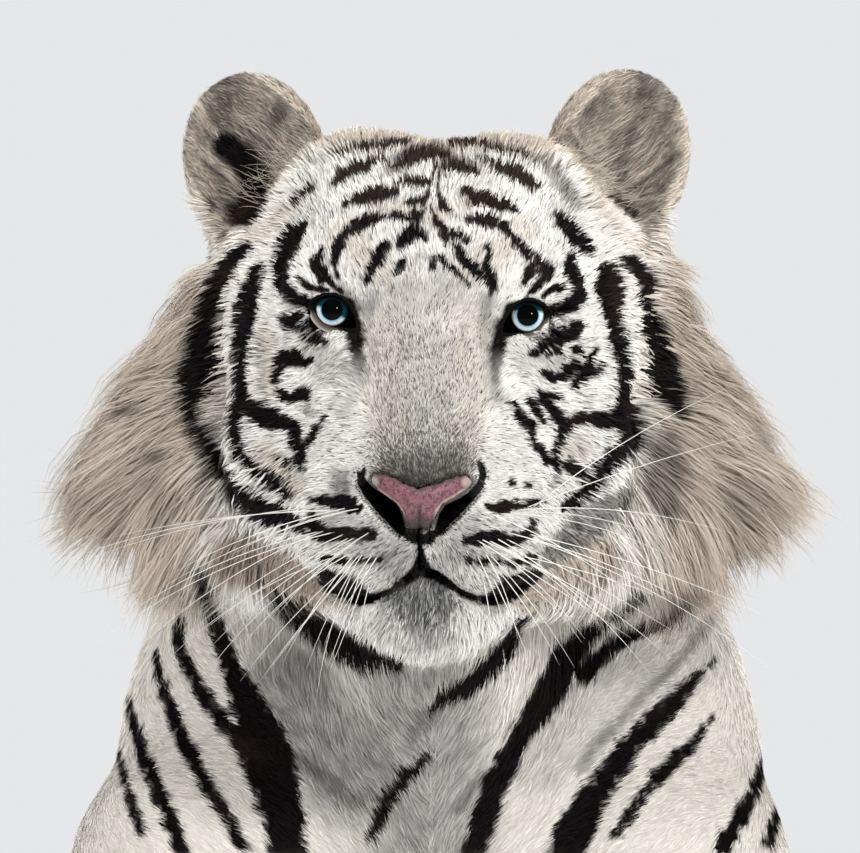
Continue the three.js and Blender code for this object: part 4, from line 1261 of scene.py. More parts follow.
def markings(p, normal):
    """Colour of skin and coat at points of the surface."""
    q = on_head(p)
    xy = picture(p)
    across, forward, up = np.abs(q[:, 0]), q[:, 1], q[:, 2]
    colour = np.repeat(CREAM[None], len(p), 0)

    def over(tint, amount):
        nonlocal colour
        colour = laid_over(colour, tint, amount)

    def over_some(tint, amount, some, cover):
        colour[some] = laid_over(colour[some], tint, amount * cover)

    head_here = step(-230, -190, forward) * step(-330, -250, up)
    back = step(0.0, 0.6, normal[:, 1]) * (1 - head_here)
    over(SAND, 0.35 * back + 0.12 * noise(p, 90, 3))
    face_here = step(-90, -40, forward) * head_here
    over(SNOW, 0.8 * face_here)
    # The ruff, the crown and the outside of the ears are the colour of sand.
    ruff = step(134, 166, across + 8 * noise(p, 20, 4)) * step(90, 40, up) * head_here
    over(TAUPE, 0.85 * ruff)
    over(UMBER, 0.22 * ruff * step(-0.2, 0.7, noise(p, 26, 16)))
    crown = step(92, 128, up) * step(-10, -60, forward) * head_here
    over(TAUPE, 0.45 * crown)
    over(LEAD, 0.16 * face_here * step(0.0, 0.8, noise(p, 9, 5) + 0.3))
    over(LEAD, 0.14 * face_here * step(0.0, 0.8, noise(p, 1.8, 17)))

    # Tones of the face, throat and chest, as seen from in front, among them painted shade round the
    # eyes, on the muzzle, under the chin and on the chest.
    seen = step(-0.3, -0.05, -normal[:, 1]) * step(150, 90, p[:, 1]) * step(905, 850, xy[:, 1])
    seen = np.maximum(seen, step(-0.08, 0.14, -normal[:, 1]) * head_here)
    seen = np.maximum(seen, step(-70, -50, forward) * head_here)
    front = np.nonzero(seen > 0)[0]
    uneven = 1 + 0.3 * noise(p[front], 7, 13) + 0.2 * noise(p[front], 2.5, 14)
    for tone, amount, softness, width, places in SOFT_TONES_AND_SHADE:
        cover = soft_stroke(xy[front], width, softness, places) * seen[front]
        over_some(TONES[tone], amount * uneven, front, cover)

    # The bridge of the nose is speckled grey, most of all above the leather.
    bridge = step(46, 24, across) * step(52, 0, up) * step(-108, -100, up) * face_here
    speck = step(-0.3, 0.5, noise(p, 1.6, 6) + 0.35 * noise(p, 7, 7))
    over(SAND, 0.25 * bridge)
    over(LEAD, bridge * (0.14 + speck * mix(0.1, 0.3, step(-40, -88, up))))
    chin = step(34, 16, across) * step(-160, -170, up) * step(-216, -196, up) * face_here
    over(LEAD, 0.75 * chin * speck)
    over(LEAD, 0.3 * step(40, 20, np.abs(across - 44)) * step(20, 8, np.abs(up + 142)) * speck
         * face_here)

    # The ears: black behind with a white spot, and drab within a sandy rim.
    ears_here = step(62, 86, up) * step(62, 82, across) * step(-84, -96, forward) * head_here
    for s in (1, -1):
        cup = q - ear_place(s) - (s * 2, 6, 2)
        ear_here = step(72, 56, np.linalg.norm(cup * (1.15, 1.2, 0.9), axis=1))
        ear_here *= step(60, 92, up)
        over(SAND, 0.7 * ear_here)
        rear = ear_here * step(0.1, 0.5, normal[:, 1]) * step(70, 84, up)
        spot = np.linalg.norm((cup - (0, 0, 8)) * (1, 0, 1), axis=1)
        over(INK, rear)
        over(SNOW, rear * step(26, 16, spot + 3 * noise(p, 8, 9)))
    within = np.nonzero((forward < -70) & (up > 10) & (normal[:, 1] < 0.15) & (across > 60))[0]
    for corners in (EAR_RIGHT, EAR_LEFT):
        inside = outline(xy[within], corners)
        middle = np.mean(corners[-8:], axis=0)
        ray = xy[within] - middle
        turn = np.arctan2(ray[:, 1], ray[:, 0]) * 13
        fan = noise(np.stack([turn, np.hypot(*ray.T) / 45], 1), 1.0, 15)
        fan += 0.6 * noise(np.stack([turn * 2.6, np.hypot(*ray.T) / 30], 1), 1.0, 18)
        over_some(SAND, 1.0, within, step(5, -3, inside))
        over_some(DRAB, 0.95, within, step(0, -4, inside))
        over_some(SAND, 0.75, within, step(-2, -6, inside) * step(0.1, 0.9, fan))
        over_some(UMBER, 0.5, within, step(-2, -6, inside) * step(0.0, -0.8, fan))
    # Painted shade in the ears' hollows and under their rims, and paler patches of hair.
    for tone, amount, softness, width, places in EAR_TONES_AND_SHADE:
        over_some(TONES[tone], amount, within, soft_stroke(xy[within], width, softness, places))

    # A pale line under each lower lid, clear of the marks.
    clear = np.zeros(len(p))
    for s in (1, -1):
        place = about_eye(q, s)
        near = np.nonzero(np.all(np.abs(place) < 34, axis=1) & (forward > -60))[0]
        gap = outline(place[near], LIDS)
        below = step(1, -5, place[near, 1]) * step(9, 2, place[near, 0])
        clear[near] = step(1.0, 1.8, gap) * step(8.5, 5.0, gap) * below
    over(SNOW, 0.9 * clear)

    # Black marks: as seen from in front on what faces forward, as bands everywhere else.
    ragged = noise(p[front], 5, 10) + 0.6 * noise(p[front], 2.2, 11)
    cover = np.zeros(len(front))
    for widths, places in BLACK_MARKS:
        cover = np.maximum(cover, marked(xy[front], widths, places, ragged))
    for share, widths, places in FAINT:
        faint = share * marked(xy[front], widths, places, ragged, 3.0) * (0.8 + 0.3 * ragged)
        cover = np.maximum(cover, faint)
    for corners in (TEAR_RIGHT, TEAR_LEFT):
        gap = outline(xy[front], corners) + 2.5 * ragged
        cover = np.maximum(cover, step(4, -3, gap) * mix(1.0, 0.55, step(345, 378, xy[front, 1])))
    drawn = np.zeros(len(p))
    drawn[front] = cover * (1 - 0.92 * clear[front])
    bands = body_bands(p, normal) * (1 - face_here) * (1 - ears_here)
    dark = mix(bands, drawn, seen)
    dark *= 1 - ears_here * (1 - face_here)
    brown = step(0.2, 0.9, noise(p, 30, 12)) * 0.35
    brown = np.maximum(brown, 0.85 * step(240, 160, xy[:, 1]) * seen * head_here)
    dark_tone = INK + (UMBER - INK) * brown[:, None]
    colour = laid_over(colour, dark_tone, dark)

    # Black round the eyes, the mouth and the nostrils.
    for s in (1, -1):
        place = about_eye(q, s)
        near = np.nonzero(np.all(np.abs(place) < 45, axis=1) & (forward > -60))[0]
        place = place[near]
        wide = -0.5 + 3.5 * step(4, 14, place[:, 0]) + 1.6 * step(0, 8, place[:, 1])
        over_some(INK, 1.0, near, step(0.9, -0.9, outline(place, LIDS) - wide))
    near = np.nonzero((forward > -5) & (np.abs(up - LIPS_UP) < 65))[0]
    for line in (MOUTH_RIGHT, MOUTH_LEFT, PHILTRUM):
        over_some(INK * 0.6, 1.0, near, step(1.8, 0.2, stroke(xy[near], line, MOUTH_WIDTHS)))
    for nostril in (NOSTRIL_RIGHT, NOSTRIL_LEFT):
        over_some(INK * 0.5, 1.0, near, step(2.4, -0.8, outline(xy[near], nostril)))
    over_some(UMBER, 0.8, near, step(6.0, 1.0, np.abs(outline(xy[near], NOSE_PAD))))
    over_some(INK, 1.0, near, step(1.5, -1.5, outline(xy[near], MOUTH_MIDDLE)))
    return np.clip(colour, 0.003, 0.95)


def pepper(p):
    """Share of the tufts at these places that are dark, as on the nose and the chin."""
    xy = picture(p)
    q = on_head(p)
    aside = np.abs(xy[:, 0] - 424)
    bridge = step(74, 26, aside) * step(290, 345, xy[:, 1]) * step(495, 485, xy[:, 1])
    bridge *= mix(0.24, 0.78, step(405, 466, xy[:, 1]))
    chin = 0.68 * step(1.3, 0.5, np.hypot((xy[:, 0] - 421) / 38, (xy[:, 1] - 600) / 27))
    lips = 0.24 * step(78, 60, aside) * step(500, 516, xy[:, 1]) * step(600, 585, xy[:, 1])
    share = np.maximum(np.maximum(bridge, chin), np.maximum(lips, 0.08))
    return share * step(-90, -40, q[:, 1]) * step(-230, -190, q[:, 2])


PIXEL = 0.64  # millimetres across a pixel at the face
BARE_EDGE = 1.0
NEAR_BARE = (1.3, 0.5)  # the longest hair at a bare edge, and how it grows away from it


def bare_gap(p, lids=True):
    """Distance from the nearest bare place: leather, nostrils, mouth or the lids' edge."""
    xy = picture(p)
    gap = np.full(len(p), FAR)
    gap = np.minimum(gap, outline(xy, NOSE_PAD) * PIXEL + 0.8 + 0.9 * noise(p, 3.0, 71))
    for corners in (NOSTRIL_RIGHT, NOSTRIL_LEFT):
        gap = np.minimum(gap, outline(xy, corners) * PIXEL)
    for places in (MOUTH_RIGHT, MOUTH_LEFT, PHILTRUM):
        gap = np.minimum(gap, stroke(xy, places, [2.2, 2.2]) * PIXEL)
    q = on_head(p)
    for s in (1, -1) if lids else ():
        gap = np.minimum(gap, outline(about_eye(q, s), LIDS) - BARE_EDGE)
    return np.where(q[:, 1] > -30, gap, FAR)


def skin_colours(p, normal):
    """The same colours for the skin, deeper because it lies in the shade of the coat, and near black as
    painted shade at the bare places and just round them: the nostrils, the mouth's groove, the nose's
    leather and the lids.
    """
    near = step(-0.8, 0.4, bare_gap(p)) * step(1.6, 4.2, bare_gap(p, lids=False))
    return markings(p, normal) * (0.8 * mix(0.04, 1.0, near))[:, None]


# ---------------------------------------------------------------- materials
GRAIN_DETAIL = 3.0
ROUGH_SPREAD = 0.1
BUMP_STRENGTH = 0.6


def set_inputs(node, values):
    for name, value in values.items():
        node.inputs[name].default_value = value


def add_node(tree, kind, values=()):
    node = tree.nodes.new("ShaderNode" + kind)
    set_inputs(node, dict(values))
    return node


def material(name, rough, specular, bump_size, bump_depth, speck=0.06):
    """Colour from the markings, with fine variation, and bump and roughness from noise."""
    made = bpy.data.materials.new(name)
    made.use_nodes = True
    tree = made.node_tree
    shader = tree.nodes["Principled BSDF"]
    set_inputs(shader, {"Specular IOR Level": specular})
    colour = add_node(tree, "Attribute")
    colour.attribute_name = PAINT
    place = add_node(tree, "TexCoord")
    grain = add_node(tree, "TexNoise", {"Scale": 1 / bump_size, "Detail": GRAIN_DETAIL})
    tone = add_node(tree, "MapRange", {"To Min": 1 - speck, "To Max": 1 + speck})
    tinted = add_node(tree, "VectorMath")
    tinted.operation = "SCALE"
    dull = add_node(tree, "MapRange", {
        "To Min": rough - ROUGH_SPREAD, "To Max": rough + ROUGH_SPREAD,
    })
    bump = add_node(tree, "Bump", {"Distance": bump_depth, "Strength": BUMP_STRENGTH})
    for start, end in (
        (place.outputs["Object"], grain.inputs["Vector"]),
        (grain.outputs["Fac"], tone.inputs["Value"]),
        (colour.outputs["Color"], tinted.inputs[0]),
        (tone.outputs["Result"], tinted.inputs["Scale"]),
        (tinted.outputs["Vector"], shader.inputs["Base Color"]),
        (grain.outputs["Fac"], dull.inputs["Value"]),
        (dull.outputs["Result"], shader.inputs["Roughness"]),
        (grain.outputs["Fac"], bump.inputs["Height"]),
        (bump.outputs["Normal"], shader.inputs["Normal"]),
    ):
        tree.links.new(start, end)
    return made, shader


SKIN_LOOK, _ = material("skin_look", 0.8, 0.0, 0.004, 0.0008)
COAT_LOOK, _ = material("coat_look", 0.7, 0.12, 0.03, 0.0002, 0.04)
WHISKER_LOOK, _ = material("whisker_look", 0.4, 0.5, 0.01, 0.0001)
NOSE_LOOK, _ = material("nose_look", 0.42, 0.5, 0.0016, 0.0007, 0.1)
RIM_LOOK, _ = material("rim_look", 0.6, 0.05, 0.003, 0.0002)
EYE_LOOK, eye_shader = material("eye_look", 0.5, 0.0, 0.002, 0.00002, 0.05)
set_inputs(eye_shader, {"Coat Weight": 0.35, "Coat IOR": 1.3, "Coat Roughness": 0.02})


def finish_piece(thing, look, slot, *nodes):
    thing.data.materials.append(look)
    if nodes:
        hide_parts(*nodes)
    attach(thing, "root")


# ---------------------------------------------------------------- skin
skin = triangle_mesh("skin", SKIN, SKIN_TRIANGLES)
paint(skin, skin_colours(SKIN, SKIN_NORMALS))
finish_piece(skin, SKIN_LOOK, "white_fur", *FLESH)


# ---------------------------------------------------------------- leather of the nose
NOSE_GROUND_Y = -408.0
NOSE_ROUND = 2.6
NOSE_CELL = 0.65


def nose_form(p):
    xy = picture(p)
    side = outline(xy, NOSE_PAD) * 0.62 + 0.8 * noise(p, 2.2, 44) + 0.3
    d = soft_max(bare_head(on_head(p)) - 0.6, side, NOSE_ROUND * 2)
    for nostril in (NOSTRIL_RIGHT, NOSTRIL_LEFT):
        d += 3.0 * step(3.0, -4.0, outline(xy, nostril))
    d += 1.5 * np.exp(-((stroke(xy, [(419, 507), (420, 537)], [1, 1]) / 2.6) ** 2))
    return soft_max(d, NOSE_GROUND_Y - 60 - p[:, 1], 1.0)


def nose_back(p):
    return np.maximum(nose_form(p), p[:, 1] - NOSE_GROUND_Y)


nose_lines = [
    grid_lines([(-50, 0), (50, NOSE_CELL)]),
    grid_lines([(-470, 0), (-404, NOSE_CELL)]),
    grid_lines([(880, 0), (940, NOSE_CELL)]),
]
nose_points, nose_triangles = facets(sampled(nose_back, nose_lines), nose_lines)
nose_points = settled(nose_back, nose_points, 2, 0.8)
nose = triangle_mesh("nose_leather", nose_points, nose_triangles)
nose_xy = picture(nose_points)
edge_px = outline(nose_xy, NOSE_PAD)
grain_here = noise(nose_points, 0.62, 41) + 0.4 * noise(nose_points, 2.2, 42)
nose_colours = np.repeat(shade(138, 90, 101)[None], len(nose_points), 0)


def tint_nose(r, g, b, amount):
    nose_colours[:] = laid_over(nose_colours, shade(r, g, b), amount)


low_sides = step(486, 491, nose_xy[:, 1]) * step(524, 514, nose_xy[:, 1])
low_sides *= np.maximum(step(12, 18, np.abs(nose_xy[:, 0] - 420)), step(494, 500, nose_xy[:, 1]))
ragged_top = 3.0 + 5.0 * noise(nose_points, 1.4, 43)
tint_nose(52, 38, 41, 0.85 * step(-0.25, 0.5, grain_here))
tint_nose(84, 76, 74, 0.85 * step(-ragged_top - 2, -ragged_top + 2, edge_px) * (1 - low_sides))
tint_nose(196, 180, 166, 0.75 * step(-3.6, -2.0, edge_px) * low_sides)
for knob in NOSE_KNOBS:
    tint_nose(178, 164, 152, 0.85 * step(7.5, 3, np.hypot(*(nose_xy - knob).T)))
tint_nose(54, 43, 41, 0.88 * step(509, 523, nose_xy[:, 1] + 3 * grain_here))
crease = np.abs(nose_xy[:, 0] - 419.5)
tint_nose(26, 18, 18, 0.85 * step(3.0, 1.0, crease) * step(503, 512, nose_xy[:, 1]))
paint(nose, np.clip(nose_colours, 0, 1))
finish_piece(nose, NOSE_LOOK, "nose_leather", "nose")

# ---------------------------------------------------------------- eyes
PUPIL = 6.95
IRIS = 10.0
# Line where the upper lid's painted shade on each iris ends: height and slope.
IRIS_SHADE_LINE = {1: (3.2, 0.0), -1: (-1.3, -0.43)}  # where each iris turns pale: height and slope
CORNEA = 10.8
CORNEA_RISE = 1.6
EYE_RINGS = 90
EYE_SPOKES = 112
GAZE_LIFT = 0.8


def make_eye(s, name, node):
    """Eyeball with a slightly domed cornea, its colours painted in rings round the gaze."""
    share = np.linspace(0, 1, EYE_RINGS + 1)[1:]
    angle = np.where(share < 0.6, share / 0.6 * 0.62, 0.62 + (share - 0.6) / 0.4 * (math.pi - 0.62))
    turn = np.linspace(0, 2 * math.pi, EYE_SPOKES, endpoint=False)
    a, t = np.meshgrid(angle, turn, indexing="ij")
    out = EYE_RADIUS * np.sin(a)
    ahead = EYE_RADIUS * np.cos(a)
    dome = np.where(ahead > 0, np.maximum(0, 1 - (out / CORNEA) ** 2), 0) * CORNEA_RISE
    local = np.stack([out * np.cos(t), ahead + dome, out * np.sin(t)], -1).reshape(-1, 3)
    front = np.array([[0, EYE_RADIUS + CORNEA_RISE, 0]])
    local = np.vstack([front, local])
    grid = 1 + np.arange(EYE_RINGS * EYE_SPOKES).reshape(EYE_RINGS, EYE_SPOKES)
    near, far = grid[:-1], grid[1:]
    right = np.roll(near, -1, 1), np.roll(far, -1, 1)
    sides = np.vstack([
        np.stack([near, right[0], right[1]], -1).reshape(-1, 3),
        np.stack([near, right[1], far], -1).reshape(-1, 3),
    ])
    cap = np.stack([np.zeros(EYE_SPOKES, int), np.roll(grid[0], -1), grid[0]], 1)
    triangles = np.vstack([cap, sides])
    from_axis = np.hypot(local[:, 0], local[:, 2] - GAZE_LIFT)
    points = off_head(local + (s * EYE_SPREAD, EYE_DEPTH, 0))
    fibre_place = np.stack([
        np.arctan2(local[:, 2] - GAZE_LIFT, local[:, 0]) * 9, from_axis * 0.4, local[:, 1] * 0
    ], 1)
    fibre = noise(fibre_place, 1.0, 51) * 0.6 + noise(fibre_place * 2.3, 1.0, 52) * 0.4
    ice = shade(206, 213, 214)
    sky = shade(70, 176, 206)
    teal = shade(12, 54, 61)
    night = shade(10, 9, 10)
    colours = np.repeat(night[None], len(points), 0)

    def over(tint, amount):
        nonlocal colours
        colours = laid_over(colours, tint, amount)

    ahead = (local[:, 1] > 0).astype(float)
    iris = step(IRIS + 0.35, IRIS - 0.35, from_axis) * ahead
    # Above the line the iris is painted dark teal, darker still towards the top, as the upper lid's
    # shade; below it shows its own pale blue.
    level, slant = IRIS_SHADE_LINE[s]
    lower = step(1.4, -1.4, local[:, 2] - level - slant * local[:, 0])
    over(teal, iris)
    over(ice, iris * lower)
    over(sky, iris * step(0.9, 0.2, np.abs(from_axis - PUPIL - 0.3)) * mix(0.0, 0.75, lower))
    over(teal, iris * 0.3 * step(-0.1, 0.9, fibre))
    over(night, iris * step(2.0, 9.0, local[:, 2]) * 0.8)
    over(night, iris * step(IRIS - 0.6, IRIS + 0.1, from_axis) * 0.85)
    over(night * 0.4, step(PUPIL + 0.2, PUPIL - 0.2, from_axis) * ahead)
    thing = triangle_mesh(name, points, triangles)
    paint(thing, np.clip(colours, 0, 1))
    finish_piece(thing, EYE_LOOK, "eye", node)


make_eye(1, "eyeball_left", "eye_left")
make_eye(-1, "eyeball_right", "eye_right")

# Bare edges of the lids: a smooth cord of leather round each opening, black above and brown
# below, where it widens into the lower lid.
RIM_STEPS = 120
RIM_SIDES = 12
RIM_OUT = 0.8  # its middle, outward of the opening's edge
RIM_WIDE = 1.15
RIM_DEEP = 1.1
RIM_SMOOTHING = 4
RIM_BROWN = shade(104, 94, 86)
RIM_PALE = shade(176, 172, 166)
LID_BAND = 2.3  # how much wider the rim is where it turns into the lower lid


def smoothed_ring(values, rounds):
    for _ in range(rounds):
        values = values / 2 + (np.roll(values, 1, axis=0) + np.roll(values, -1, axis=0)) / 4
    return values


def make_rim(s, name):
    corners = np.array([*LIDS, LIDS[0]], float)
    run = np.concatenate([[0], np.cumsum(np.linalg.norm(np.diff(corners, axis=0), axis=1))])
    want = np.linspace(0, run[-1], RIM_STEPS, endpoint=False)
    ring = np.stack([np.interp(want, run, corners[:, k]) for k in range(2)], 1)
    ring = smoothed_ring(ring, RIM_SMOOTHING)
    along = unit(np.roll(ring, -1, axis=0) - np.roll(ring, 1, axis=0))
    outward = np.stack([-along[:, 1], along[:, 0]], 1)
    ring = ring + outward * RIM_OUT
    q = on_head(SKIN) - (s * EYE_SPREAD, EYE_DEPTH, 0)
    near = np.nonzero((np.linalg.norm(q, axis=1) < 2 * EYE_RADIUS - 2) & (q[:, 1] > 0))[0]
    place = about_eye(on_head(SKIN)[near], s)
    lid = []
    for spot in ring + outward * 2.0:
        closest = np.argsort(np.linalg.norm(place - spot, axis=1))[:8]
        lid.append(q[near[closest], 1].mean())
    ball = np.sqrt(np.maximum(EYE_RADIUS**2 - (ring**2).sum(1), 0))
    depth = np.maximum(ball + 0.4, np.array(lid) - 0.6)
    depth = np.maximum(smoothed_ring(depth, RIM_SMOOTHING), ball + 0.4)
    turn = np.linspace(0, 2 * math.pi, RIM_SIDES, endpoint=False)
    band = step(2.0, -3.0, ring[:, 1]) * step(4.0, -2.0, ring[:, 0])
    out = RIM_WIDE * np.cos(turn) * (1 + LID_BAND * band[:, None] * (np.cos(turn) > 0.1))
    local = np.stack([
        ring[:, None, 0] + outward[:, None, 0] * out,
        depth[:, None] + RIM_DEEP * np.sin(turn),
        ring[:, None, 1] + outward[:, None, 1] * out,
    ], -1).reshape(-1, 3)
    points = off_head(local * (-s, 1, 1) + (s * EYE_SPREAD, EYE_DEPTH, 0))
    grid = np.arange(RIM_STEPS * RIM_SIDES).reshape(RIM_STEPS, RIM_SIDES)
    near, far = grid, np.roll(grid, -1, 0)
    quads = np.stack([near, np.roll(near, -1, 1), np.roll(far, -1, 1), far], -1).reshape(-1, 4)
    if s > 0:
        quads = quads[:, ::-1]
    thing = new_mesh(name, points, quads.ravel(), np.full(len(quads), 4))
    brown = step(1.0, -4.0, ring[:, 1]) * step(8.0, 2.0, ring[:, 0])
    brown = brown[:, None] * step(-0.3, 0.4, np.cos(turn))
    colours = INK + (RIM_BROWN - INK) * brown.reshape(-1, 1)
    pale = band[:, None] * step(0.55, 0.85, np.cos(turn))
    colours = colours + (RIM_PALE - colours) * pale.reshape(-1, 1)
    paint(thing, colours)
    finish_piece(thing, RIM_LOOK, "nose_leather")


make_rim(1, "eye_rim_left")
make_rim(-1, "eye_rim_right")

# ---------------------------------------------------------------- lie of the coat
# At each named place: where it is outward from the midline, along Y and up; how far its
# manner reaches; length of the hair; its lift off the skin in degrees; and its way.
GROOM = {
    "nose end": ((0, -424, 938), 22, 3.0, 22, (0, 0.5, 0.85)),
    "bridge": ((0, -392, 978), 30, 3.8, 21, (0.05, 0.5, 0.85)),
    "bridge top": ((0, -356, 1022), 30, 5.0, 19, (0.1, 0.3, 1)),
    "brow": ((54, -352, 1062), 26, 6.5, 18, (0.3, 0.3, 0.9)),
    "forehead": ((0, -350, 1082), 34, 7.0, 17, (0, 0.3, 1)),
    "forehead side": ((62, -332, 1104), 32, 8.0, 18, (0.25, 0.4, 0.9)),
    "crown": ((0, -280, 1150), 44, 12, 38, (0, 1, 0.15)),
    "crown side": ((70, -270, 1142), 40, 13, 38, (0.3, 0.85, 0.2)),
    "outer eye": ((90, -334, 1036), 24, 7.5, 16, (0.8, 0.5, 0.2)),
    "under eye": ((62, -350, 1002), 22, 5.0, 18, (0.5, 0.25, -0.6)),
    "inner eye": ((32, -366, 1016), 18, 3.8, 18, (0.2, 0.2, 0.75)),
    "muzzle side": ((52, -382, 940), 26, 5.5, 18, (0.65, 0.6, -0.15)),
    "pad": ((40, -430, 892), 24, 4.8, 19, (0.75, 0.3, -0.4)),
    "pad low": ((40, -418, 866), 20, 5.5, 16, (0.5, 0.2, -0.85)),
    "lip side": ((70, -370, 890), 26, 8.0, 18, (0.7, 0.55, -0.4)),
    "chin": ((0, -420, 836), 26, 6.5, 24, (0, 0.15, -1)),
    "chin side": ((38, -400, 838), 22, 11, 28, (0.35, 0.3, -1)),
    "under chin": ((0, -380, 806), 30, 14, 26, (0, 0.6, -0.8)),
    "jaw": ((72, -330, 852), 32, 17, 24, (0.5, 0.5, -0.75)),
    "cheek": ((96, -326, 972), 32, 9.5, 18, (0.85, 0.5, -0.15)),
    "low cheek": ((96, -320, 916), 32, 14, 20, (0.75, 0.5, -0.5)),
    "temple": ((118, -290, 1052), 34, 10, 20, (0.6, 0.75, 0.1)),
    "side of face": ((136, -268, 1000), 28, 20, 26, (0.75, 0.6, -0.35)),
    "ear foot": ((130, -226, 1086), 24, 9.0, 20, (0.7, 0.5, -0.3)),
    "ruff top": ((152, -222, 1042), 34, 50, 50, (0.85, 0.2, -0.32)),
    "ruff": ((192, -215, 946), 50, 66, 38, (0.9, 0.2, -0.4)),
    "ruff foot": ((168, -220, 880), 46, 62, 26, (0.5, 0.25, -0.95)),
    "throat": ((70, -280, 826), 46, 22, 20, (-0.05, 0.2, -1)),
    "back of head": ((100, -150, 1090), 50, 18, 24, (0.3, 0.9, -0.3)),
    "nape": ((0, -110, 1110), 60, 18, 22, (0, 1, -0.4)),
    "neck front": ((0, -290, 780), 50, 16, 15, (0, 0.05, -1)),
    "chest middle": ((0, -240, 690), 44, 13, 14, (0, 0, -1)),
    "chest": ((60, -222, 700), 50, 11.5, 13, (-0.5, 0, -0.85)),
    "chest side": ((112, -170, 650), 60, 10.5, 12, (-0.85, 0, -0.5)),
    "low chest": ((0, -130, 560), 70, 18, 16, (0, 0.3, -1)),
    "neck side": ((150, -130, 860), 60, 15, 16, (-0.4, 0.2, -0.9)),
    "shoulder front": ((180, -110, 740), 70, 10, 12, (-0.9, -0.1, -0.42)),
    "shoulder edge": ((238, -60, 700), 60, 10, 12, (-0.3, -0.5, -0.8)),
    "shoulder": ((250, 30, 690), 90, 12, 13, (0, 0.3, -1)),
    "withers": ((0, 150, 940), 110, 17, 16, (0, 0.8, -0.6)),
    "flank": ((200, 300, 560), 130, 16, 14, (0, 0.75, -0.65)),
    "back": ((0, 450, 690), 130, 17, 15, (0, 0.8, -0.6)),
    "belly": ((0, 260, 330), 120, 26, 20, (0, 0.6, -0.6)),
    "loin": ((190, 600, 400), 120, 16, 14, (0, 0.7, -0.7)),
    "rump": ((60, 840, 240), 110, 17, 15, (0, 0.2, -1)),
    "thigh": ((290, 500, 270), 120, 15, 13, (0.05, 0.35, -0.95)),
    "knee": ((230, 320, 270), 80, 13, 13, (0.1, 0.3, -0.95)),
    "upper arm": ((180, -60, 560), 80, 11, 12, (-0.35, 0.05, -0.9)),
    "forearm": ((130, -30, 330), 90, 11, 12, (0, 0.1, -1)),
    "wrist": ((124, -110, 120), 50, 8.5, 12, (0, -0.2, -1)),
    "forepaw": ((124, -190, 45), 45, 6.0, 12, (0, -1, -0.5)),
    "hock": ((224, 560, 60), 90, 10, 12, (0, -1, -0.2)),
    "hindpaw": ((236, 235, 45), 50, 6.0, 12, (0, -1, -0.4)),
}
TAIL_HAIR = (17.0, 16.0)
EAR_HAIR = {"back": 7.0, "inside": 15.0}


def grooming(p, normal):
    """Length, lift and way of the hair at points of the skin."""
    folded = p.copy()
    folded[:, 0] = np.abs(p[:, 0])
    side = np.where(p[:, 0] < 0, -1.0, 1.0)
    total = np.zeros(len(p))
    length = np.zeros(len(p))
    lift = np.zeros(len(p))
    way = np.zeros((len(p), 3))
    for place, reach, hair, angle, direction in GROOM.values():
        gap = folded - np.array(place, float)
        weight = 1 / (0.02 + (np.einsum("ij,ij->i", gap, gap) / reach**2) ** 2)
        total += weight
        length += weight * hair
        lift += weight * angle
        way += weight[:, None] * (np.array(direction, float) / np.linalg.norm(direction))
    length /= total
    lift /= total
    way[:, 0] *= side
    way = unit(way)

    share, far = along_path(p, TAIL_PATH)
    here = step(TAIL_ROOT + 6, TAIL_ROOT - 6, far) * step(0, 0.06, share)
    tangents = np.gradient(TAIL_PATH, axis=0)
    at = np.clip((share * TAIL_STEPS).astype(int), 0, TAIL_STEPS)
    way = mix(way, unit(tangents[at]), here[:, None])
    length = mix(length, TAIL_HAIR[0] + 5 * share, here)
    lift = mix(lift, TAIL_HAIR[1], here)

    q = on_head(p)
    for s in (1, -1):
        cup = q - ear_place(s)
        here = step(74, 60, np.linalg.norm(cup * (1.1, 1.2, 0.9), axis=1))
        here *= step(66, 84, q[:, 2])
        front = step(-0.1, 0.3, -normal[:, 1])
        inner = front * step(26, 10, np.linalg.norm(cup * (1, 0, 0.7), axis=1))
        outward = np.array([s * 0.85, -0.35, 0.55])
        upward = np.array([s * 0.1, 0.1, 1.0])
        ear_way = upward + (outward - upward) * front[:, None]
        ear_length = mix(EAR_HAIR["back"], EAR_HAIR["inside"], inner)
        way = mix(way, ear_way, here[:, None])
        length = mix(length, ear_length, here)
        lift = mix(lift, 20 + 8 * front, here)
    return length, lift, unit(way)


def add_map(thing, place, sideways, along, loops):
    """UV map with one small patch for each tuft, at its root's place on the unwrap."""
    low, high = place.min(0), place.max(0)
    place = MAP_EDGE + (1 - 2 * MAP_EDGE) * (place - low) / (high - low)
    patch = np.stack([sideways, along - 0.5], 1) * PATCH
    spots = place[:, None, :] + patch[None]
    layer = thing.data.uv_layers.new(name="OFBake")
    layer.uv.foreach_set("vector", spots.reshape(-1, 2)[loops].astype(np.float32).ravel())


# ---------------------------------------------------------------- tufts
# Each coat piece: how many tufts, a tuft's least width and its width for its length, how many
# segments it has, and how the piece unwraps.
COATS = {
    "face_right": (58000, (0.5, 0.05), 2, "head"),
    "face_left": (58000, (0.5, 0.05), 2, "head"),
    "crown": (34000, (0.7, 0.05), 2, "head"),
    "ears": (26000, (0.7, 0.02), 2, "head"),
    "ruff_right": (26000, (0.6, 0.006), 4, "head"),
    "ruff_left": (26000, (0.6, 0.006), 4, "head"),
    "chest_right": (46000, (0.6, 0.016), 2, "trunk"),
    "chest_left": (46000, (0.6, 0.016), 2, "trunk"),
    "flank_right": (26000, (1.8, 0.15), 2, "trunk"),
    "flank_left": (26000, (1.8, 0.15), 2, "trunk"),
    "forelegs": (22000, (1.2, 0.12), 2, "legs"),
    "hindlegs": (27000, (1.6, 0.14), 2, "legs"),
    "tail": (9000, (1.6, 0.12), 2, "tail"),
}
FINE_ABOVE = 570.0  # the forelegs' tops have the fine coat of the chest
GROUP_NAMES = list(GROUPS)
LONG_HAIR = 27.0


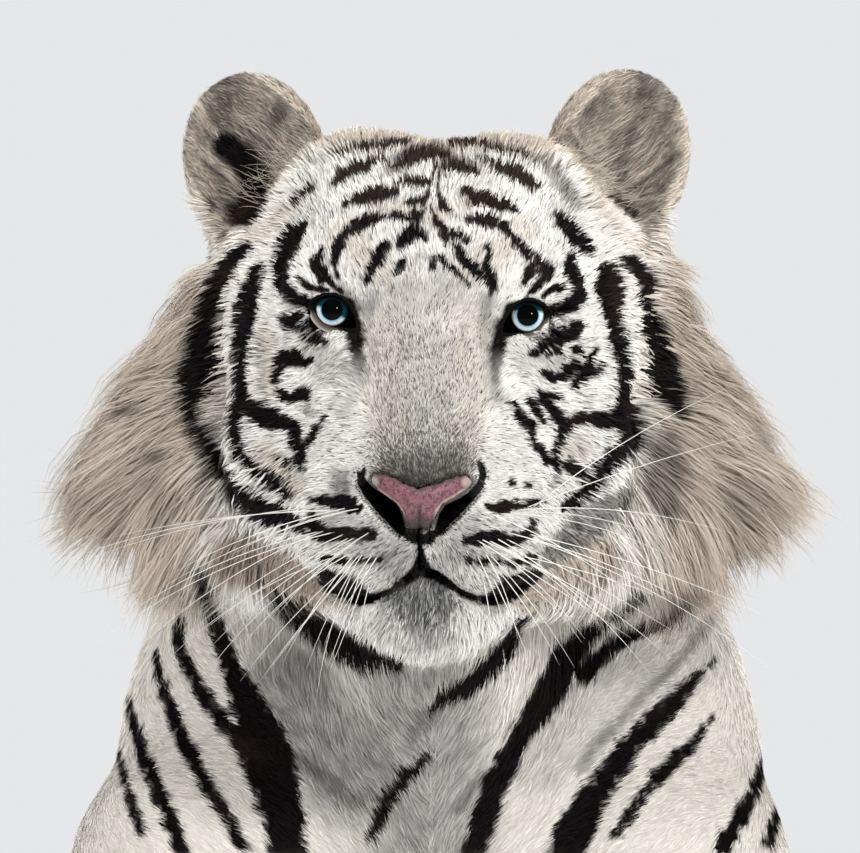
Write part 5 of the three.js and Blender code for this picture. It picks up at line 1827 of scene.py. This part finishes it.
def group_of(p):
    best = np.full(len(p), ENDLESS)
    which = np.zeros(len(p), int)
    for number, members in enumerate(GROUPS.values()):
        for form, _ in members:
            near = np.all((p > form.low - 20) & (p < form.high + 20), axis=1)
            if not near.any():
                continue
            value = np.full(len(p), ENDLESS)
            value[near] = form(p[near])
            closer = value < best
            best = np.where(closer, value, best)
            which = np.where(closer, number, which)
    return which


def coat_of(p, normal, length):
    """Number of the coat piece that each point of the skin belongs to."""
    group = group_of(p)
    q = on_head(p)
    names = list(COATS)

    def named(name):
        return names.index(name)

    def here(name):
        return group == GROUP_NAMES.index(name)

    right = p[:, 0] < 0
    out = np.where(right, named("chest_right"), named("chest_left"))
    out[here("trunk") & (p[:, 1] > 20)] = named("flank_left")
    out[here("trunk") & (p[:, 1] > 20) & right] = named("flank_right")
    head = here("head")
    out[head] = named("crown")
    face_here = head & (q[:, 1] > -78) & (length < LONG_HAIR)
    out[face_here] = named("face_left")
    out[face_here & right] = named("face_right")
    ruff_here = head & (length >= LONG_HAIR)
    out[ruff_here] = named("ruff_left")
    out[ruff_here & right] = named("ruff_right")
    out[here("ear")] = named("ears")
    out[(here("foreleg") & (p[:, 2] < FINE_ABOVE)) | here("forepaw")] = named("forelegs")
    out[here("hindleg") | here("hindpaw")] = named("hindlegs")
    out[here("tail")] = named("tail")
    return out


def unwrap(p, manner):
    """Where points lie on an unwrap of the skin: angles about the part's own middle line."""
    if manner == "head":
        q = on_head(p) - (0, -110, -20)
        flat = np.hypot(q[:, 0], q[:, 1])
        return np.stack([np.arctan2(q[:, 0], q[:, 1]), np.arctan2(q[:, 2], flat)], 1)
    if manner == "trunk":
        share, _ = along_path(p, SPINE)
        at = np.stack([
            np.interp(share * (len(SPINE) - 1), np.arange(len(SPINE)), SPINE[:, k])
            for k in range(3)
        ], 1)
        gap = p - (at - (0, 60, 110))
        return np.stack([np.arctan2(gap[:, 0], gap[:, 2] * 0.7 + gap[:, 1] * 0.7), share], 1)
    if manner == "tail":
        share, _ = along_path(p, TAIL_PATH)
        at = np.clip((share * TAIL_STEPS).astype(int), 0, TAIL_STEPS)
        gap = p - TAIL_PATH[at]
        tangent = unit(np.gradient(TAIL_PATH, axis=0))[at]
        across = unit(np.cross(tangent, (0, 0, 1)))
        over = np.cross(across, tangent)
        return np.stack([
            np.arctan2(np.einsum("ij,ij->i", gap, over), np.einsum("ij,ij->i", gap, across)),
            share,
        ], 1)
    # Legs: each in its own quarter of the map, by angle about the leg and height.
    left = p[:, 0] > 0
    front = p[:, 1] < 200
    middle = np.where(front, 128, 222) * np.where(left, 1, -1)
    depth = np.where(front, -30, 480)
    angle = np.arctan2(p[:, 0] - middle, p[:, 1] - depth)
    return np.stack([angle + np.where(left, 7.0, 0.0), p[:, 2]], 1)


TINT_SPREAD = {"ears": 0.26}  # how far tufts differ from each other in tone
ROOT_SHARE = 0.05  # how deep roots lie in the skin for the hair's length, and its limits
ROOT_DEPTH = (0.06, 0.6)
PATCH = 0.003  # width of each tuft's patch on the unwrap
MAP_EDGE = 0.01
GRAVITY = np.array([0.0, 0.0, -1.0])
# Tufts are darker at the root and lighter at the tip: painted shade, as the coat shades itself near the
# skin.
ROOT_TO_TIP_SHADE = (0.80, 0.95, 1.03, 1.06)  # tone along a tuft, from its root to its tip
LOCK = (7.0, 0.25)  # size of the locks that lie together: least, and for the hair's length
LOCK_SWING = (0.34, 0.2)  # how far locks swing aside, and how much further in shaggy hair
WIDE_SWING = 0.2
OWN_SWING = 0.13
UNEVEN = (0.16, 0.26)  # how unlike the lengths of locks are, and how much more in shaggy hair
SHAGGY_FROM = 24.0
SHAGGY_REACH = 40.0
MOST_DROOP = 0.5
MOST_BEND = 0.34
MOST_ROLL = 0.55
TAPER = 0.6
PEPPERED = 0.8


def make_coat(name, triangles_here, length, lift, way):
    """One piece of the coat: thin curved tufts, each rooted on a triangle of the skin."""
    count, (least, share), segments, manner = COATS[name]
    count = int(count * (1))
    corners = SKIN_TRIANGLES[triangles_here]
    a, b, c = (SKIN[corners[:, k]] for k in range(3))
    area = np.linalg.norm(np.cross(b - a, c - a), axis=1) / 2
    mean_length = length[corners].mean(1)
    chance = area / (mean_length * (least + share * mean_length))
    # Undersides that lie on the floor have no tufts.
    chance *= step(4, 10, (a[:, 2] + b[:, 2] + c[:, 2]) / 3)
    chance = np.cumsum(chance)
    pick = np.searchsorted(chance, CHANCE.random(count) * chance[-1])
    pick = np.minimum(pick, len(corners) - 1)
    u, v = CHANCE.random((2, count))
    fold = u + v > 1
    u[fold], v[fold] = 1 - u[fold], 1 - v[fold]
    weights = np.stack([1 - u - v, u, v], 1)
    chosen = corners[pick]

    def spread(values):
        if values.ndim == 1:
            return np.einsum("ij,ij->i", values[chosen], weights)
        return np.einsum("ijk,ij->ik", values[chosen], weights)

    root = spread(SKIN)
    normal = unit(spread(SKIN_NORMALS))
    hair = spread(length)
    angle = np.radians(spread(lift))
    gap = bare_gap(root)
    flow = spread(way)
    flow = unit(flow - np.einsum("ij,ij->i", flow, normal)[:, None] * normal)
    across = np.cross(normal, flow)

    # Neighbouring tufts swing together in locks; each also has a little swing of its own.
    lock = LOCK[0] + LOCK[1] * hair.mean()
    shaggy = np.clip((hair - SHAGGY_FROM) / SHAGGY_REACH, 0, 1)
    swing = (LOCK_SWING[0] + LOCK_SWING[1] * shaggy) * noise(root, lock, 61)
    swing += WIDE_SWING * noise(root, lock * 3.1, 62)
    swing += OWN_SWING * CHANCE.standard_normal(count)
    flow = unit(flow + across * swing[:, None])
    uneven = UNEVEN[0] + UNEVEN[1] * shaggy
    hair = hair * (1 + uneven * noise(root, lock * 0.7, 63)) * CHANCE.uniform(0.66, 1.2, count)
    angle = angle * (1 + 0.35 * noise(root, lock * 0.8, 64)) * CHANCE.uniform(0.6, 1.35, count)
    width = least + share * hair
    width *= CHANCE.uniform(0.75, 1.2, count)
    roll = CHANCE.uniform(-MOST_ROLL, MOST_ROLL, count)
    aside = np.cross(normal, flow)
    aside = aside * np.cos(roll)[:, None] + normal * np.sin(roll)[:, None]
    droop = np.clip((hair - SHAGGY_FROM) / 50, 0, 1) * MOST_DROOP
    bend = CHANCE.uniform(-MOST_BEND, MOST_BEND, count) * np.clip(hair / 40, 0.12, 1)

    spine = [root - normal * np.clip(ROOT_SHARE * hair, *ROOT_DEPTH)[:, None]]
    for n in range(segments):
        t = (n + 0.5) / segments
        rise = angle * (1.5 - 1.6 * t)
        way_here = flow * np.cos(rise)[:, None] + normal * np.sin(rise)[:, None]
        way_here += GRAVITY * (droop * t)[:, None] + aside * (bend * (t - 0.3))[:, None]
        spine.append(spine[-1] + unit(way_here) * (hair / segments)[:, None])
    per = 2 * segments + 1
    points = np.zeros((count, per, 3))
    tone = np.zeros((count, per))
    # The tone along each tuft is painted shade at its root, rising to full at its tip.
    for n in range(segments):
        t = n / segments
        half = (width * (1 - t) ** TAPER / 2)[:, None] * aside
        points[:, 2 * n] = spine[n] - half
        points[:, 2 * n + 1] = spine[n] + half
        tone[:, 2 * n:2 * n + 2] = np.interp(t, np.linspace(0, 1, len(ROOT_TO_TIP_SHADE)), ROOT_TO_TIP_SHADE)
    points[:, -1] = spine[-1]
    tone[:, -1] = ROOT_TO_TIP_SHADE[-1]

    # Short tufts take the colour two thirds of the way out, long ones change along their length.
    spread_here = TINT_SPREAD.get(name, 0.13)
    own = 1 + spread_here * np.clip(CHANCE.standard_normal(count), -2.0, 2.0)
    tone *= own[:, None]
    if segments > 2:
        belt = [markings(mix(place, spine[segments // 2], 0.4), normal) for place in spine]
        colours = np.stack([belt[min(n // 2, segments)] for n in range(per)], 1)
    else:
        colours = markings(mix(spine[1], spine[2], 0.4), normal)[:, None, :]
    dark = CHANCE.random(count) < pepper(root)
    colours = colours + (PEPPER - colours) * (PEPPERED * dark)[:, None, None]
    colours = colours * tone[:, :, None]

    kept = gap > 0
    count = int(kept.sum())
    points, colours, root = points[kept], colours[kept], root[kept]
    base = np.arange(count)[:, None] * per
    strips = [base + np.array([[2 * n, 2 * n + 2, 2 * n + 3, 2 * n + 1]])
              for n in range(segments - 1)]
    last = base + np.array([[per - 3, per - 1, per - 2]])
    loops = np.hstack([*strips, last])
    counts = np.tile([4] * (segments - 1) + [3], count)
    thing = new_mesh("coat_" + name, points.reshape(-1, 3), loops.ravel(), counts)
    paint(thing, np.clip(colours, 0.003, 0.97).reshape(-1, 3))

    along = np.append(np.repeat(np.arange(segments), 2) / segments, 1.0)
    sideways = np.append(np.tile([-0.5, 0.5], segments), 0.0)
    add_map(thing, unwrap(root, manner), sideways, along, loops.ravel())
    finish_piece(thing, COAT_LOOK, "white_fur")


length, lift, way = grooming(SKIN, SKIN_NORMALS)
coat_number = coat_of(SKIN, SKIN_NORMALS, length)
length = np.minimum(length, NEAR_BARE[0] + NEAR_BARE[1] * np.maximum(bare_gap(SKIN), 0))
triangle_coat = coat_number[SKIN_TRIANGLES[:, 0]]
for number, name in enumerate(COATS):
    here = np.nonzero(triangle_coat == number)[0]
    make_coat(name, here, length, lift, way)

# ---------------------------------------------------------------- whiskers and ear wisps
WHISKER_STEPS = 9
# Rows of whiskers on each pad: from and to in the picture, how many, how far the first and the
# last of them slope down, and their lengths.
WHISKER_ROWS = [
    [((322, 501), (352, 507), 6, (0, 14), (185, 110)),
     ((312, 529), (364, 537), 8, (8, 34), (185, 90)),
     ((326, 560), (380, 561), 8, (24, 62), (130, 60)),
     ((336, 580), (372, 588), 6, (46, 80), (90, 50))],
    [((540, 503), (496, 508), 6, (-34, 12), (180, 110)),
     ((534, 530), (482, 540), 8, (4, 34), (180, 90)),
     ((532, 560), (474, 562), 6, (20, 62), (120, 60)),
     ((520, 580), (484, 588), 4, (42, 80), (80, 50))],
]
WHISKER_THICK = 0.75
WHISKER_DROOP = 0.35
WHISKER_TINT = shade(240, 236, 229)
WISP_LINES = [((303, 148), (252, 204)), ((574, 156), (622, 200))]
WISPS = 60
WISP_THICK = 0.55
WISP_DROOP = 0.2
WISP_SPREAD = 9
WISP_TINT = shade(214, 204, 190)


def skin_seen_at(x, y):
    """The foremost point of the skin seen at a pixel."""
    gap = np.hypot(SKIN_PICTURE[:, 0] - x, SKIN_PICTURE[:, 1] - y)
    pool = np.nonzero((gap < 7) & (SKIN_NORMALS[:, 1] < 0.1))[0]
    return SKIN[pool[np.argmin(SKIN[pool, 1])]]


def make_hairs(name, roots, ways, lengths, thick, droop, bend, tint):
    """Thin tapering three-sided hairs, each curved, joined in one mesh."""
    count = len(roots)
    rings = [roots]
    way = ways.copy()
    for n in range(WHISKER_STEPS):
        way = unit(way + (GRAVITY * droop + bend) / WHISKER_STEPS)
        rings.append(rings[-1] + way * (lengths / WHISKER_STEPS)[:, None])
    points = np.zeros((count, WHISKER_STEPS + 1, 3, 3))
    side = unit(np.cross(ways, (0.1, 1.0, 0.3)))
    over = unit(np.cross(side, ways))
    for n, ring in enumerate(rings):
        radius = thick / 2 * (1 - n / WHISKER_STEPS) ** 0.7 + 0.04
        for k in range(3):
            turn = 2 * math.pi * k / 3
            points[:, n, k] = ring + radius * (side * math.cos(turn) + over * math.sin(turn))
    strips = []
    for n in range(WHISKER_STEPS):
        for k in range(3):
            a, b = 3 * n + k, 3 * n + (k + 1) % 3
            strips.append([a, b, b + 3, a + 3])
    per = 3 * (WHISKER_STEPS + 1)
    loops = (np.arange(count)[:, None, None] * per + np.array(strips)).reshape(-1)
    thing = new_mesh(name, points.reshape(-1, 3), loops, np.full(len(loops) // 4, 4))
    own = CHANCE.uniform(0.85, 1.05, (count, 1, 1))
    colours = np.broadcast_to(tint * own, (count, per, 3)).reshape(-1, 3)
    paint(thing, np.clip(colours, 0, 0.95))
    along = np.repeat(np.arange(WHISKER_STEPS + 1) / WHISKER_STEPS, 3)
    sideways = np.tile([-0.5, 0.0, 0.5], WHISKER_STEPS + 1)
    add_map(thing, unwrap(roots, "head"), sideways, along, loops)
    finish_piece(thing, WHISKER_LOOK, "white_fur")


SKIN_PICTURE = picture(SKIN)
roots, ways, lengths = [], [], []
for s, rows in zip((-1, 1), WHISKER_ROWS):
    for start, end, count, (first, last), (longest, shortest) in rows:
        for n in range(count):
            t = n / (count - 1)
            x = mix(start[0], end[0], t) + CHANCE.uniform(-2, 2)
            y = mix(start[1], end[1], t) + CHANCE.uniform(-2, 2)
            slope = math.radians(mix(first, last, t) + CHANCE.uniform(-9, 9))
            roots.append(skin_seen_at(x, y))
            ways.append((s * math.cos(slope), mix(0.05, -0.5, t), -math.sin(slope)))
            lengths.append(mix(longest, shortest, t) * CHANCE.uniform(0.75, 1.1))
ways = unit(np.array(ways))
make_hairs(
    "whiskers", np.array(roots), ways, np.array(lengths), WHISKER_THICK, WHISKER_DROOP,
    CHANCE.uniform(-0.22, 0.22, (len(roots), 3)) + (0, 0.25, 0), WHISKER_TINT,
)

roots, ways, lengths = [], [], []
for s, (start, end) in zip((-1, 1), WISP_LINES):
    for n in range(WISPS):
        t = CHANCE.random()
        x = mix(start[0], end[0], t) + CHANCE.uniform(-WISP_SPREAD, WISP_SPREAD)
        y = mix(start[1], end[1], t) + CHANCE.uniform(-WISP_SPREAD, WISP_SPREAD)
        roots.append(skin_seen_at(x, y))
        ways.append((
            s * CHANCE.uniform(0.5, 1.1), CHANCE.uniform(-0.5, -0.1), CHANCE.uniform(-0.2, 0.9)
        ))
        lengths.append(CHANCE.uniform(16, 32))
make_hairs(
    "ear_wisps", np.array(roots), unit(np.array(ways)), np.array(lengths), WISP_THICK, WISP_DROOP,
    CHANCE.uniform(-0.9, 0.9, (len(roots), 3)), WISP_TINT,
)

# ---------------------------------------------------------------- camera, light and floor
camera = bpy.data.cameras.new("camera")
camera.sensor_fit = "HORIZONTAL"
camera.sensor_width = SENSOR
camera.lens = PIXELS_AT_ONE / PICTURE[0] * SENSOR
camera.clip_end = 100
camera_thing = bpy.data.objects.new("camera", camera)
camera_thing.location = CAMERA_AT * MM + SHIFT
camera_thing.rotation_euler = (math.pi / 2, 0, 0)
bpy.context.scene.collection.objects.link(camera_thing)
bpy.context.scene.camera = camera_thing


def softbox(name, place, aim, size, power, glint=False):
    """Round area light; only a glint is seen reflected in the eyes and the leather."""
    light = bpy.data.lights.new(name, "AREA")
    light.energy = power
    light.size = size
    light.shape = "DISK"
    thing = bpy.data.objects.new(name, light)
    way = np.array(aim, float) - np.array(place, float)
    way /= np.linalg.norm(way)
    thing.location = place
    thing.rotation_euler = (math.acos(-way[2]), 0, math.atan2(-way[0], way[1]))
    thing.visible_glossy = glint
    bpy.context.scene.collection.objects.link(thing)


AIM = (-0.065, -0.6, 0.95)
BODY_AIM = (-0.065, 0, 0.8)
# Each light: place, what it is aimed at, size and power.
LIGHTS = {
    "side_right": ((-2.3, -1.9, 2.1), AIM, 1.1, 45),
    "side_left": ((2.2, -2.0, 2.0), AIM, 1.1, 43),
    "top": ((-0.06, -1.5, 3.0), AIM, 1.2, 16),
    "rim": ((1.9, 2.2, 2.4), BODY_AIM, 1.4, 30),
    "rim_right": ((-2.1, 2.2, 2.4), BODY_AIM, 1.4, 30),
    "glint": ((0.86, -2.6, 1.75), AIM, 0.25, 20),
}
for name, light in LIGHTS.items():
    softbox(name, *light, glint=name == "glint")

STUDIO_WHITE = (0.93, 0.94, 0.95, 1)
FLOOR_WHITE = (0.85, 0.85, 0.845, 1)
FLOOR_REACH = 5.2
FLOOR_GLOW = (1.8, 4.2, 0.08, 0.62)  # from and to how far out, and how bright
floor_mesh = bpy.data.meshes.new("floor")
floor_mesh.from_pydata(
    [(x * FLOOR_REACH, y * FLOOR_REACH, 0) for x, y in ((-1, -1), (1, -1), (1, 1), (-1, 1))],
    [], [(0, 1, 2, 3)],
)
floor = bpy.data.objects.new("floor", floor_mesh)
bpy.context.scene.collection.objects.link(floor)
floor_look = bpy.data.materials.new("floor_look")
floor_look.use_nodes = True
tree = floor_look.node_tree
floor_shader = tree.nodes["Principled BSDF"]
set_inputs(floor_shader, {
    "Base Color": FLOOR_WHITE, "Roughness": 0.9, "Specular IOR Level": 0.0,
    "Emission Color": STUDIO_WHITE,
})
glow = add_node(tree, "MapRange", zip(("From Min", "From Max", "To Min", "To Max"), FLOOR_GLOW))
place = add_node(tree, "TexCoord")
out = add_node(tree, "VectorMath")
out.operation = "LENGTH"
tree.links.new(place.outputs["Object"], out.inputs[0])
tree.links.new(out.outputs["Value"], glow.inputs["Value"])
tree.links.new(glow.outputs["Result"], floor_shader.inputs["Emission Strength"])
floor_mesh.materials.append(floor_look)

# The studio's walls give little light of their own but are seen as a bright plain ground.
BACKDROP = 0.85
AMBIENT = 0.2
world = bpy.data.worlds.new("studio")
bpy.context.scene.world = world
world.use_nodes = True
tree = world.node_tree
backdrop = tree.nodes["Background"]
set_inputs(backdrop, {"Color": STUDIO_WHITE, "Strength": BACKDROP})
ambient = add_node(tree, "Background", {"Color": (0.93, 0.95, 1.0, 1), "Strength": AMBIENT})
either = add_node(tree, "MixShader")
ray = add_node(tree, "LightPath")
tree.links.new(ray.outputs["Is Camera Ray"], either.inputs[0])
tree.links.new(ambient.outputs[0], either.inputs[1])
tree.links.new(backdrop.outputs[0], either.inputs[2])
tree.links.new(either.outputs[0], tree.nodes["World Output"].inputs["Surface"])
bpy.context.scene.view_settings.view_transform = "Standard"
